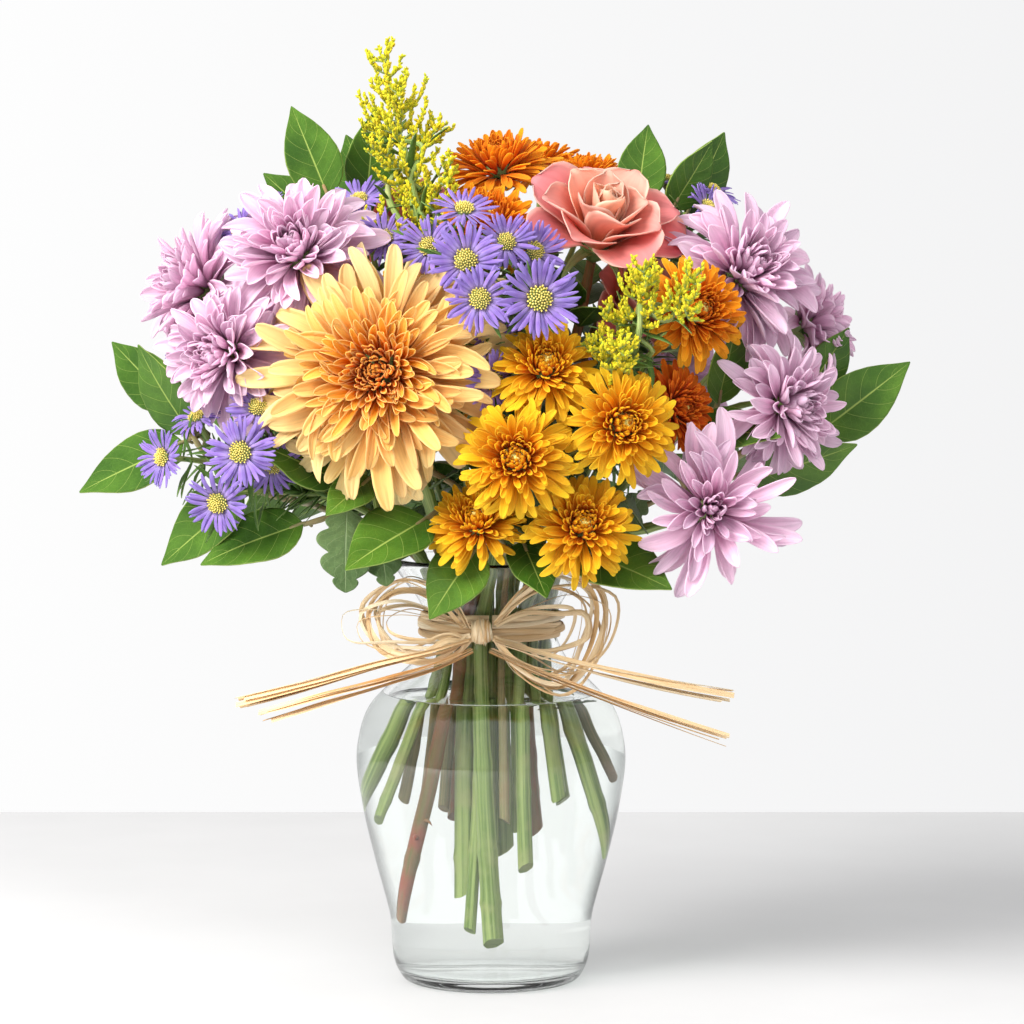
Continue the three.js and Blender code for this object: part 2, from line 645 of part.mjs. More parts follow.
function addMesh(group, name, look, solid, place = new THREE.Matrix4()) {
  const local = solid.transform(place.clone().invert().elements);
  const mesh = new THREE.Mesh(geometryFrom(wholeOf(local.simplify(FINENESS))), look);
  mesh.name = name;
  mesh.applyMatrix4(place);
  group.add(mesh);
}

addMesh(vaseGroup, "vase", clearGlass, vaseShape(0));
keepRoom("vase", vaseShape(GAP));

// The stems go in first, and everything soft then lies round them.
const stems = STEMS.map((stem) => {
  const shape = stemShape(stem);
  const solid = wholeOf(clearOf(shape(0), stem[0]));
  keepRoom(stem[0], shape(GAP));
  return [stem[0], solid];
});

for (const [name, kind, place, facing, scale] of BLOOMS) {
  const shape = bloomShape(scaled(kind, scale));
  const matrix = facingMatrix(reach(place), facing);
  const solid = wholeOf(clearOf(shape(0).transform(matrix.elements), name));
  keepRoom(name, shape(GAP).transform(matrix.elements));
  addMesh(bouquetGroup, name, petals[kind], solid, matrix);
}

function looksOf(name) {
  if (ASTERS[name]) return asterPurple;
  if (PLUMES[name]) return goldenrodYellow;
  return LEAVES[name] ? leafGreen : stemGreen;
}

// A spray is one grown piece, so its stem and what grows on it are one solid.
for (const [name, stem] of stems) {
  const growth = growthShape(name);
  const solid = wholeOf(joined([stem, clearOf(growth(0), name)]));
  keepRoom(name, growth(GAP));
  addMesh(bouquetGroup, name, looksOf(name), solid);
}

addMesh(vaseGroup, "water", water, wholeOf(clearOf(waterShape(), "water")));

addMesh(vaseGroup, "raffia_band", raffia, wholeOf(clearOf(bandShape(), "raffia_band")));
addMesh(vaseGroup, "raffia_knot", raffia, wholeOf(clearOf(knotShape(0), "raffia_knot")));
keepRoom("raffia_knot", knotShape(GAP));
for (const [name, line] of Object.entries(LOOPS)) {
  addMesh(vaseGroup, name, raffia, wholeOf(clearOf(bundle(line, LOOP_R), name)));
  keepRoom(name, bundle(line, LOOP_R + GAP));
}
TAILS.forEach((line, i) => {
  const name = `raffia_tail_${i + 1}`;
  addMesh(vaseGroup, name, raffia, wholeOf(clearOf(bundle(line, TAIL_R), name)));
  keepRoom(name, bundle(line, TAIL_R + GAP));
});

export default object;
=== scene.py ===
import heapq
import math

import bpy
import numpy as np
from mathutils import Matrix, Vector


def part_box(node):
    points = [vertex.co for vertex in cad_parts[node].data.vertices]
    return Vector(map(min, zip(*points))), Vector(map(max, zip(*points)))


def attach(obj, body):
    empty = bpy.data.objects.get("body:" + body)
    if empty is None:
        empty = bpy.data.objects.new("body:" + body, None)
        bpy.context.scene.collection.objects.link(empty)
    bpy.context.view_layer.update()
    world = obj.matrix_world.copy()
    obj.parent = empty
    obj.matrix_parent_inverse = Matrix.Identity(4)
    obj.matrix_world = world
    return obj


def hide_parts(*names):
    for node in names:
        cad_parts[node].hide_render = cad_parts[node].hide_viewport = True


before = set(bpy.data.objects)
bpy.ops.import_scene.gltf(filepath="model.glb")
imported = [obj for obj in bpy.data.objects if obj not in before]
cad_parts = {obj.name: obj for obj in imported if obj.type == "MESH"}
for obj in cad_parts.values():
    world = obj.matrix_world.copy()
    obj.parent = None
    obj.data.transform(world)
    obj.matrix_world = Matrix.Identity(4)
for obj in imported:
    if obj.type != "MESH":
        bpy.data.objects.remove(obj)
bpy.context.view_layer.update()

# ---- Camera ------------------------------------------------------------------------------------
# The bouquet is seen from a little above its middle, from the front and from well back, through a
# long lens that keeps the vase's sides upright.

camera = bpy.data.objects.new("camera", bpy.data.cameras.new("camera"))
camera.location = (0.0095, -1.6, 0.32)
LOOKS_DOWN = 3.852
camera.rotation_euler = (math.radians(90 - LOOKS_DOWN), 0, 0)
camera.data.lens = 125
bpy.context.scene.collection.objects.link(camera)
bpy.context.scene.camera = camera

# ---- Raffia tails ------------------------------------------------------------------------------
# The four free ends of the bow. Each is a loose bundle of dry flat strips of palm leaf, stiff enough
# to stand out from the knot and droop only a little, and cut off bare and slightly split at its tip.

rng = np.random.default_rng(11)


def smooth_line(points, count):
    """Evenly spaced points on a smooth curve through the given ones."""
    p = np.asarray(points, float)
    step = np.linalg.norm(np.diff(p, axis=0), axis=1)[:, None]
    way = np.diff(p, axis=0) / step
    pull = np.vstack([way[:1], way])
    pull[1:-1] = (way[:-1] * step[1:] + way[1:] * step[:-1]) / (step[1:] + step[:-1])
    pull[0], pull[-1] = 1.5 * way[0] - 0.5 * pull[1], 1.5 * way[-1] - 0.5 * pull[-2]
    t = np.linspace(0, 1, 17)[:-1, None]
    runs = [
        (1 + 2 * t) * (1 - t) ** 2 * a + t * (1 - t) ** 2 * h * m
        + t**2 * (3 - 2 * t) * b - t**2 * (1 - t) * h * n
        for a, b, m, n, h in zip(p[:-1], p[1:], pull[:-1], pull[1:], step)
    ]
    line = np.vstack([*runs, p[-1:]])
    so_far = np.concatenate([[0], np.cumsum(np.linalg.norm(np.diff(line, axis=0), axis=1))])
    at = np.linspace(0, so_far[-1], count)
    return np.column_stack([np.interp(at, so_far, line[:, i]) for i in range(3)])


def unit(v):
    """Each vector made one long."""
    return v / np.maximum(np.linalg.norm(v, axis=-1, keepdims=True), 1e-12)


def carried_frames(line):
    """Two directions square to a line that turn no more than the line does."""
    along = unit(np.gradient(line, axis=0))
    side = np.empty_like(line)
    carried = np.cross(along[0], (0.0, 0.0, 1.0))
    if np.linalg.norm(carried) < 0.05:
        carried = np.cross(along[0], (1.0, 0.0, 0.0))
    for i, way in enumerate(along):
        carried = unit(carried - way * (carried @ way))
        side[i] = carried
    return side, np.cross(side, along)


def ring_quads(rings, sides):
    """The faces of a tube of rings, each with this many corners."""
    ring, i = np.arange(sides), sides * np.arange(rings - 1)[:, None]
    nxt = (ring + 1) % sides
    quads = np.broadcast_arrays(i + ring, i + nxt, i + sides + nxt, i + sides + ring)
    return np.stack(quads, axis=-1).reshape(-1, 4)


def sweep(line, section, size=1.0, spin=0.0, **marks):
    """A closed rod: a section carried along a line, sized (one number, or a width and a thickness,
    for the whole line or for each of its points) and turned as it goes."""
    line, section = np.asarray(line, float), np.asarray(section, float)
    n, m = len(line), len(section)
    side, up = carried_frames(line)
    size = np.asarray(size, float)
    size = np.broadcast_to(size[:, None] if size.shape == (n,) else size, (n, 2))
    spin = np.broadcast_to(spin, (n,))[:, None]
    across = side * np.cos(spin) + up * np.sin(spin)
    over = up * np.cos(spin) - side * np.sin(spin)
    wide = section[None, :, 0] * size[:, :1]
    thick = section[None, :, 1] * size[:, 1:]
    points = line[:, None] + wide[..., None] * across[:, None] + thick[..., None] * over[:, None]
    ring = np.arange(m)
    faces = ring_quads(n, m).tolist() + [ring[::-1].tolist(), ((n - 1) * m + ring).tolist()]
    marks = {name: np.broadcast_to(value, (n, m)).reshape(-1) for name, value in marks.items()}
    marks.setdefault("along", np.repeat(np.linspace(0, 1, n), m))
    return points.reshape(-1, 3), faces, marks


def make_piece(name, parts, finish, stands_for=(), sharp=50):
    """One piece from (points, faces, marks) parts. It rides on the body and stands for CAD nodes."""
    points, faces, first = [], [], 0
    marks = {key: [] for part in parts for key in part[2]}
    for verts, polygons, readings in parts:
        points.append(verts)
        if isinstance(polygons, np.ndarray):
            faces += (polygons + first).tolist()
        else:
            faces += [[i + first for i in polygon] for polygon in polygons]
        for key, stack in marks.items():
            stack.append(np.broadcast_to(np.asarray(readings.get(key, 0.0), float), (len(verts),)))
        first += len(verts)
    mesh = bpy.data.meshes.new(name)
    mesh.from_pydata(np.vstack(points).tolist(), [], faces)
    for key, stack in marks.items():
        mesh.attributes.new(key, "FLOAT", "POINT").data.foreach_set("value", np.concatenate(stack))
    mesh.shade_smooth()
    mesh.set_sharp_from_angle(angle=math.radians(sharp))
    mesh.materials.append(finish)
    piece = bpy.data.objects.new(name, mesh)
    bpy.context.scene.collection.objects.link(piece)
    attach(piece, "root")
    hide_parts(*stands_for)
    return piece


def new_finish(name, roughness):
    """A material, its node tree and its shader."""
    finish = bpy.data.materials.new(name)
    finish.use_nodes = True
    shader = finish.node_tree.nodes["Principled BSDF"]
    shader.inputs["Roughness"].default_value = roughness
    return finish, finish.node_tree, shader


def add_node(tree, kind, plugs=None, **settings):
    """A shader node with its settings, and its inputs set to values or wired to sockets."""
    node = tree.nodes.new("ShaderNode" + kind)
    for key, value in settings.items():
        setattr(node, key, value)
    for key, value in (plugs or {}).items():
        if isinstance(value, bpy.types.NodeSocket):
            tree.links.new(value, node.inputs[key])
        else:
            node.inputs[key].default_value = value
    return node


def mark(tree, name):
    """What a piece's points carry under this name."""
    return add_node(tree, "Attribute", attribute_name=name).outputs["Fac"]


def sums(tree, operation, *values):
    """One step of arithmetic between sockets and numbers."""
    return add_node(tree, "Math", dict(enumerate(values)), operation=operation).outputs[0]


def fade(tree, factor, *stops):
    """Colours that follow each other as the factor grows; each stop is a place and a colour."""
    ramp = add_node(tree, "ValToRGB", {"Fac": factor})
    band = ramp.color_ramp.elements
    for i, (place, colour) in enumerate(stops):
        stop = band[i] if i < 2 else band.new(place)
        stop.position = place
        stop.color = (*colour, 1)
    return ramp.outputs["Color"]


def blended(tree, factor, one, other, kind="MIX"):
    """Two colours mixed by a factor."""
    mix = add_node(tree, "Mix", data_type="RGBA", blend_type=kind)
    for socket, value in ((mix.inputs[0], factor), (mix.inputs[6], one), (mix.inputs[7], other)):
        if isinstance(value, bpy.types.NodeSocket):
            tree.links.new(value, socket)
        else:
            socket.default_value = value if isinstance(value, float) else (*value, 1)
    return mix.outputs[2]


def streaks(tree, lengthways, crossways, detail=3.0):
    """Noise drawn out along a piece, different in each of its parts."""
    way = add_node(
        tree, "CombineXYZ",
        {"X": sums(tree, "MULTIPLY", mark(tree, "across"), crossways),
         "Y": sums(tree, "MULTIPLY", mark(tree, "along"), lengthways),
         "Z": sums(tree, "MULTIPLY", mark(tree, "tint"), 37.0)},
    ).outputs[0]
    return add_node(tree, "TexNoise", {"Vector": way, "Scale": 1.0, "Detail": detail}).outputs[0]


def relief(tree, shader, height, depth, strength=1.0):
    """Fine surface relief from a height, as deep as the depth in metres."""
    bump = add_node(tree, "Bump", {"Height": height, "Distance": depth, "Strength": strength})
    tree.links.new(bump.outputs["Normal"], shader.inputs["Normal"])


raffia_straw, tree, shader = new_finish("raffia straw", 0.6)
fibres = streaks(tree, 9.0, 5.0, 5.0)
straw = fade(
    tree, mark(tree, "tint"), (0.0, (0.70, 0.45, 0.21)), (0.3, (0.86, 0.63, 0.36)),
    (0.7, (0.93, 0.74, 0.48)), (1.0, (0.96, 0.84, 0.62)),
)
shade = fade(tree, fibres, (0.3, (0.74, 0.62, 0.48)), (0.55, (1.0, 1.0, 1.0)))
tree.links.new(blended(tree, 0.85, straw, shade, "MULTIPLY"), shader.inputs["Base Color"])
relief(tree, shader, fibres, 0.0003, 0.7)

# A strip folds a little along its middle, so its section is a shallow trough with thin edges.
TROUGH = np.array(
    [(-1, 0.6), (-0.5, 0.0), (0, -0.4), (0.5, 0.0), (1, 0.6), (0.5, 0.5), (0, 0.2), (-0.5, 0.5)]
)


def strip(line, width, thickness, spin=0.0):
    """One strand of raffia: a thin folded strip that narrows at its ends and wanders in width."""
    t = np.linspace(0, 1, len(line))
    taper = 0.6 + 0.4 * np.sin(np.pi * (0.03 + 0.94 * t)) ** 0.4
    wander = 1 + 0.14 * np.sin(t * rng.uniform(9, 17) + rng.uniform(0, 6))
    size = np.column_stack([0.5 * width * taper * wander, np.full(len(line), thickness)])
    return sweep(line, TROUGH, size, spin, across=TROUGH[:, 0], tint=rng.random())


knot_low, knot_high = (np.array(corner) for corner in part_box("raffia_knot"))
knot_at = (knot_low + knot_high) / 2

# The route of each tail: metres right, back and up from the middle of the knot.
TAIL_ROUTES = [
    [(-0.006, -0.005, -0.004), (-0.020, -0.010, -0.008), (-0.046, -0.012, -0.014),
     (-0.074, -0.010, -0.022), (-0.108, -0.002, -0.031)],
    [(-0.004, -0.006, -0.008), (-0.018, -0.011, -0.014), (-0.042, -0.015, -0.021),
     (-0.068, -0.015, -0.028), (-0.097, -0.011, -0.037)],
    [(0.006, -0.005, -0.004), (0.020, -0.010, -0.008), (0.046, -0.012, -0.015),
     (0.076, -0.008, -0.022), (0.111, 0.002, -0.029)],
    [(0.004, -0.006, -0.008), (0.018, -0.011, -0.014), (0.044, -0.015, -0.024),
     (0.074, -0.015, -0.035), (0.108, -0.010, -0.047)],
]
TAIL_THICKNESS = 0.0048
STRIPS_IN_TAIL = 6
STRIP_THICKNESS = 0.0003

for number, route in enumerate(TAIL_ROUTES, 1):
    middle = smooth_line(knot_at + np.array(route), 26)
    side, up = carried_frames(middle)
    t = np.linspace(0, 1, len(middle))
    strands = []
    for k in range(STRIPS_IN_TAIL):
        # The strands lie flat beside and over each other, and part a little towards their tips.
        turn = 2 * math.pi * (k + rng.uniform(0, 0.6)) / STRIPS_IN_TAIL + rng.uniform(-1.2, 1.2) * t
        away = TAIL_THICKNESS * (0.24 + 0.42 * t) * (0.8 + 0.25 * np.sin(3 * t + k))
        aside = side * np.cos(turn)[:, None] + up * np.sin(turn)[:, None]
        line = (middle + away[:, None] * aside)[: len(middle) - (k % 3 == 2)]
        spin = rng.uniform(-0.5, 0.5) + rng.uniform(-1.6, 1.6) * t[: len(line)]
        strands.append(strip(line, rng.uniform(0.002, 0.0036), STRIP_THICKNESS, spin))
    tail = make_piece(
        f"raffia_end_{number}", strands, raffia_straw, [f"raffia_tail_{number}"]
    )
    length = float(np.linalg.norm(np.diff(middle, axis=0), axis=1).sum())

# ---- Vase --------------------------------------------------------------------------------------
# A blown clear glass vase with a heavy base, a full belly, a drawn-in neck and a flared mouth whose
# lip is fire-polished round. The glass is 3 mm thick, a little thinner towards the lip.

WALL = 0.003
ROUND_SIDES = 144
GLASS_BENDING, WATER_BENDING = 1.5, 1.333


def cad_mesh(node):
    """A CAD piece's corners, each of them once, and its triangles."""
    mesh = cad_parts[node].data
    corners = np.empty(len(mesh.vertices) * 3)
    mesh.vertices.foreach_get("co", corners)
    mesh.calc_loop_triangles()
    faces = np.empty(len(mesh.loop_triangles) * 3, int)
    mesh.loop_triangles.foreach_get("vertices", faces)
    points, same = np.unique(np.round(corners.reshape(-1, 3), 5), axis=0, return_inverse=True)
    return points, same.reshape(-1)[faces].reshape(-1, 3)


def cad_edges(faces):
    return np.unique(np.sort(faces[:, [0, 1, 1, 2, 2, 0]].reshape(-1, 2), axis=1), axis=0)


def widest_rings(node):
    """The outer profile of a turned CAD piece, from the bottom up: the radius and height of each ring."""
    corners, faces = cad_mesh(node)
    one, two = corners[cad_edges(faces)].transpose(1, 0, 2)
    outer = []
    for height in np.unique(np.round(corners[:, 2], 4)):
        rise = two[:, 2] - one[:, 2]
        met = (one[:, 2] - height) * (two[:, 2] - height) <= 1e-9
        share = np.clip((height - one[:, 2]) / np.where(np.abs(rise) < 1e-6, 1, rise), 0, 1)
        crossing = (one + share[:, None] * (two - one))[met]
        widest = np.hypot(crossing[:, 0], crossing[:, 1]).max()
        level = np.abs(corners[:, 2] - height) < 1e-4
        if abs(np.hypot(corners[level, 0], corners[level, 1]).max() - widest) < 2e-4:
            outer.append((widest, height))
    return np.array(outer)


def turned(profile, sides=ROUND_SIDES, **marks):
    """A closed solid turned about the upright axis. The profile's two ends lie on the axis."""
    profile = np.asarray(profile, float)
    turn = np.arange(sides) * 2 * math.pi / sides
    radius, height = profile[1:-1, 0], profile[1:-1, 1]
    points = np.stack(
        [np.outer(radius, np.cos(turn)), np.outer(radius, np.sin(turn)),
         np.broadcast_to(height[:, None], (len(radius), sides))], axis=-1,
    ).reshape(-1, 3)
    points = np.vstack([points, [[0, 0, profile[0, 1]], [0, 0, profile[-1, 1]]]])
    first, last = len(points) - 2, len(points) - 1
    top = (len(radius) - 1) * sides
    edges = [(a, (a + 1) % sides) for a in range(sides)]
    caps = [[first, b, a] for a, b in edges] + [[last, top + a, top + b] for a, b in edges]
    return points, ring_quads(len(radius), sides).tolist() + caps, marks


rings = widest_rings("vase")
outside = smooth_line(np.column_stack([rings[:, 0], 0 * rings[:, 0], rings[:, 1]]), 110)[:, [0, 2]]
slope = unit(np.gradient(outside, axis=0))
outward = np.column_stack([slope[:, 1], -slope[:, 0]])
glass_height = outside[-1, 1]
thickness = WALL * np.interp(outside[:, 1] / glass_height, [0.85, 1], [1, 0.8])
inside = outside - thickness[:, None] * outward
FLOOR = float(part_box("water")[0].z) - 0.0003
CORNER = 0.006
side_wall = inside[inside[:, 1] > FLOOR + CORNER]
bend = np.linspace(0, math.pi / 2, 8)[1:]
start = side_wall[0]
corner = np.column_stack(
    [start[0] - CORNER * (1 - np.cos(bend)), start[1] - (start[1] - FLOOR) * np.sin(bend)]
)[::-1]
inner_line = np.vstack([corner, side_wall])
lip_turn = np.linspace(0, math.pi, 9)[1:-1, None]
lip_middle = (outside[-1] + inside[-1]) / 2
lip = (
    lip_middle + np.cos(lip_turn) * (outside[-1] - lip_middle)
    + np.sin(lip_turn) * slope[-1] * 0.5 * thickness[-1]
)
underside = [(0, 0.0014), (0.018, 0.0013), (0.028, 0.0008), (0.0325, 0.0001), (0.034, 0)]
floor_line = [(0.02, FLOOR), (0, FLOOR + 0.0006)]
glass_profile = np.vstack([underside, outside, lip, inner_line[::-1], floor_line])


def see_through(name, tint, bending, shade):
    """Clear glass or water, which throws only a soft shadow of the given shade."""
    finish, tree, shader = new_finish(name, 0.0)
    shader.inputs["Base Color"].default_value = (*tint, 1)
    shader.inputs["Transmission Weight"].default_value = 1
    shader.inputs["IOR"].default_value = bending
    through = add_node(tree, "BsdfTransparent", {"Color": (*shade, 1)})
    ray = add_node(tree, "LightPath")
    mix = add_node(tree, "MixShader", {0: ray.outputs["Is Shadow Ray"]})
    tree.links.new(shader.outputs[0], mix.inputs[1])
    tree.links.new(through.outputs[0], mix.inputs[2])
    tree.links.new(mix.outputs[0], tree.nodes["Material Output"].inputs["Surface"])
    return finish, tree, shader


clear_glass, tree, shader = see_through(
    "clear glass", (0.975, 0.99, 0.985), GLASS_BENDING, (0.93, 0.94, 0.94)
)
drawn = add_node(tree, "TexNoise", {"Scale": 14.0, "Detail": 2.0})
where = add_node(tree, "TexCoord").outputs["Object"]
stretched = add_node(tree, "Mapping", {"Vector": where, "Scale": (1, 1, 0.35)})
tree.links.new(stretched.outputs[0], drawn.inputs["Vector"])
relief(tree, shader, drawn.outputs[0], 0.0004, 0.25)
make_piece("glass_vase", [turned(glass_profile)], clear_glass, ["vase"], sharp=70)

# ---- Water -------------------------------------------------------------------------------------
# Fresh water up to just under the shoulder. It wets the glass, so its edge climbs a little, and its
# surface is all but still.

water_level = float(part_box("water")[1].z)
WETTED = 0.00015
below = inner_line[inner_line[:, 1] < water_level]
edge_radius = float(np.interp(water_level, inner_line[7:, 1], inner_line[7:, 0]))
water_side = below + WETTED * np.array([1, 0])
water_side[:7] += WETTED * np.array([0, -1])
meniscus = [
    (edge_radius - 0.0006 + WETTED, water_level + 0.0014), (edge_radius - 0.0009, water_level + 0.0008),
    (edge_radius - 0.0018, water_level + 0.0003), (edge_radius - 0.0034, water_level + 0.0001),
    (edge_radius - 0.006, water_level), (edge_radius * 0.4, water_level), (0, water_level),
]
bottom = [(0, FLOOR - WETTED), (0.02, FLOOR - WETTED)]
still_water, tree, shader = see_through(
    "still water", (0.985, 1.0, 0.985), WATER_BENDING, (0.98, 0.99, 0.98)
)
ripple = add_node(tree, "TexNoise", {"Scale": 60.0, "Detail": 1.0})
tree.links.new(add_node(tree, "TexCoord").outputs["Object"], ripple.inputs["Vector"])
relief(tree, shader, ripple.outputs[0], 0.0003, 0.1)
make_piece(
    "vase_water", [turned(np.vstack([bottom, water_side, meniscus]))], still_water, ["water"],
    sharp=70,
)

# ---- Stems -------------------------------------------------------------------------------------
# Cut flower stems, fresh and ribbed, each a trunk from its slanting cut in the water up to where its
# side shoots leave. Rose stems are red-brown and thorny, and woody twigs carry the salal leaves.

BRANCH_RADIUS = 0.0013
RING_REACH = 0.0046
stem_nodes = sorted(
    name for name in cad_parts
    if name.endswith(("_stem", "_left", "_right", "_back", "_front", "_top", "_tall", "_centre", "_low"))
    and "loop" not in name
)
BLOOM_KINDS = ("peach_mum", "gold_mum", "orange_mum", "lavender_mum", "rose")
bloom_nodes = sorted(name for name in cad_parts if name.rstrip("_0123456789") in BLOOM_KINDS)


def flat_faces(node, smallest):
    """A CAD piece's flat faces, largest first: middle, the way it faces, area and corners."""
    corners, faces = cad_mesh(node)
    a, b, c = corners[faces].transpose(1, 0, 2)
    cross = np.cross(b - a, c - a)
    area, facing = np.linalg.norm(cross, axis=1) / 2, unit(cross)
    middle = (a + b + c) / 3
    sharing = {}
    for f, face in enumerate(faces.tolist()):
        for pair in ((face[0], face[1]), (face[1], face[2]), (face[2], face[0])):
            sharing.setdefault(frozenset(pair), []).append(f)
    beside = [[] for _ in faces]
    for pair in sharing.values():
        for f in pair:
            beside[f] += [g for g in pair if g != f]
    taken, flats = np.zeros(len(faces), bool), []
    for seed in np.argsort(-area):
        if taken[seed]:
            continue
        taken[seed], found, queue = True, [seed], [seed]
        while queue:
            for g in beside[queue.pop()]:
                level = abs((middle[g] - middle[seed]) @ facing[seed]) < 0.0001
                if not taken[g] and facing[g] @ facing[seed] > 0.998 and level:
                    taken[g] = True
                    found.append(g)
                    queue.append(g)
        total = area[found].sum()
        if total > smallest:
            centroid = (middle[found] * area[found, None]).sum(0) / total
            flats.append((centroid, facing[seed], total, corners[np.unique(faces[found])]))
    return sorted(flats, key=lambda flat: -flat[2])


class Skeleton:
    """The middles of a CAD stem's rings of corners, and the ways between them along its surface."""

    def __init__(self, node):
        corners, faces = cad_mesh(node)
        ring = np.arange(len(corners))
        apart = np.linalg.norm(corners[:, None] - corners[None], axis=2)
        for i, j in zip(*np.nonzero(np.triu(apart < RING_REACH, 1))):
            if ring[i] != ring[j]:
                ring[ring == ring[j]] = ring[i]
        _, ring = np.unique(ring, return_inverse=True)
        self.middles = np.array([corners[ring == k].mean(0) for k in range(ring.max() + 1)])
        self.foot = int(np.argmin(self.middles[:, 2]))
        foot_ring = corners[ring == self.foot]
        self.radius = float(np.linalg.norm(foot_ring - foot_ring.mean(0), axis=1).mean())
        joined = np.unique(np.sort(ring[cad_edges(faces)], axis=1), axis=0)
        self.ways = [[] for _ in self.middles]
        for i, j in joined[joined[:, 0] != joined[:, 1]]:
            length = float(np.linalg.norm(self.middles[i] - self.middles[j]))
            self.ways[i].append((j, length))
            self.ways[j].append((i, length))

    def route(self, to):
        """The rings on the way from the cut end to the ring nearest to a point."""
        goal = int(np.argmin(np.linalg.norm(self.middles - to, axis=1)))
        best, before, queue = {self.foot: 0.0}, {}, [(0.0, self.foot)]
        while queue:
            so_far, at = heapq.heappop(queue)
            if at == goal:
                break
            for other, length in self.ways[at]:
                if so_far + length < best.get(other, math.inf):
                    best[other] = so_far + length
                    before[other] = at
                    heapq.heappush(queue, (so_far + length, other))
        steps = [goal]
        while steps[-1] in before:
            steps.append(before[steps[-1]])
        return steps[::-1]


def bloom_facts(node):
    """A CAD bloom's middle, the way it faces, its radius at the rim, and how deep it is behind."""
    corners, _ = cad_mesh(node)
    crown, facing, _, _ = flat_faces(node, 1e-5)[0]
    out = corners - crown
    height = out @ facing
    from_axis = np.linalg.norm(out - height[:, None] * facing, axis=1)
    radius = from_axis.max()
    rim = height[from_axis > 0.97 * radius].mean()
    return crown + rim * facing, facing, radius, rim - height.min()


# The least and most areas, in mm2, of the CAD faces that show where an aster and a side shoot of
# goldenrod are.
ASTER_DISC = (45, 260)
PLUME_TIP = (3.5, 110)


def is_disc(face, low, high):
    """Whether a flat face is about as wide one way as the other, with an area in mm2 in between."""
    centroid, _, area, corners = face
    return low < area * 1e6 < high and area > 2.15 * np.linalg.norm(corners - centroid, axis=1).max() ** 2


def aster_heads(node):
    """Each aster on a CAD spray: its middle, the way it faces and its radius."""
    found = []
    for face in flat_faces(node, 4.5e-5):
        if is_disc(face, *ASTER_DISC) and face[0][2] > glass_height + 0.01:
            radius = 2 * np.linalg.norm(face[3] - face[0], axis=1).max()
            found.append((face[0] - face[1] * radius * 0.21, face[1], radius))
    return found


def leaf_plates(node):
    """Each leaf on a CAD stem: its base, its tip, the way its upper side faces and its width."""
    found, flats = [], flat_faces(node, 1.2e-4)
    for middle, facing, area, corners in flats:
        # A leaf that a neighbour crosses is two flat faces in one plane.
        rest = [
            other for other in flats
            if 0 < np.linalg.norm(other[0] - middle) < 0.03 and other[1] @ facing > 0.995
            and abs((other[0] - middle) @ facing) < 0.0002
        ]
        if any(other[2] > area for other in rest):
            continue
        if rest:
            total = area + sum(other[2] for other in rest)
            middle = (middle * area + sum(other[0] * other[2] for other in rest)) / total
            corners = np.vstack([corners, *(other[3] for other in rest)])
        front = -1 if middle[1] < 0.015 else 1
        thin = any(
            other[1] @ facing < -0.99 and abs(abs((other[0] - middle) @ facing) - 0.001) < 0.0003
            and np.linalg.norm(other[0] - middle) < 0.012 for other in flats
        )
        if not thin or facing @ (0.1, front, 0.35) < 0:
            continue
        out = corners - middle
        _, _, ways = np.linalg.svd(out, full_matrices=False)
        along, wide = out @ ways[0], np.ptp(out @ ways[1])
        if not 0.012 < wide < 0.95 * np.ptp(along):
            continue
        blunt = -ways[0] if -along.min() < along.max() else ways[0]
        base, tip = middle + blunt * (out @ blunt).max(), middle - blunt * (-(out @ blunt)).max()
        found.append((base, tip, facing, wide))
    return found


def plume_spines(node):
    """Each flowering side shoot on a CAD goldenrod: its foot, the way it goes and its length."""
    found = []
    for face in flat_faces(node, 3.5e-6):
        if is_disc(face, *PLUME_TIP) and face[0][2] > glass_height + 0.03:
            length = 8 * np.linalg.norm(face[3] - face[0], axis=1).max()
            found.append((face[0] - face[1] * length, face[1], length))
    return found


blooms = {node: bloom_facts(node) for node in bloom_nodes}
heads = {node: aster_heads(node) for node in stem_nodes if node.startswith("aster")}
plumes = {node: plume_spines(node) for node in stem_nodes if node.startswith("goldenrod")}
leaves = {node: leaf_plates(node) for node in stem_nodes}
stem_corners = {node: cad_mesh(node)[0] for node in stem_nodes}
carried = {node: [] for node in stem_nodes}
for middle, facing, _, depth in blooms.values():
    back = middle - facing * depth
    nearest = min(
        (node for node in stem_nodes if "stem" in node),
        key=lambda node: np.linalg.norm(stem_corners[node] - back, axis=1).min()
    )
    carried[nearest].append((back + 0.2 * depth * facing, facing))


def stem_ends(node):
    """Where a stem's shoots end, and the way that each arrives."""
    ends = list(carried[node])
    ends += [(middle - facing * radius * 0.4, facing) for middle, facing, radius in heads.get(node, [])]
    ends += [(base, unit(tip - base)) for base, tip, _, _ in leaves[node]]
    ends += [(foot, way) for foot, way, _ in plumes.get(node, [])]
    return ends


def ribbed(ribs, depth, sides=20):
    """A round section with ribs, of radius one."""
    turn = np.arange(sides) * 2 * math.pi / sides
    radius = 1 + depth * np.cos(ribs * turn)
    return np.column_stack([radius * np.cos(turn), radius * np.sin(turn)])


def swollen(length, gap, amount):
    """How much thicker a stem is at each point of its length: a little at each of its joints."""
    joints = np.arange(rng.uniform(0.2, 1) * gap, length[-1], gap)
    joints = joints + rng.uniform(-0.2, 0.2, len(joints)) * gap
    bumps = [np.exp(-(((length - joint) / 0.0022) ** 2)) for joint in joints]
    return 1 + amount * np.sum(bumps, axis=0) if len(joints) else np.ones(len(length))


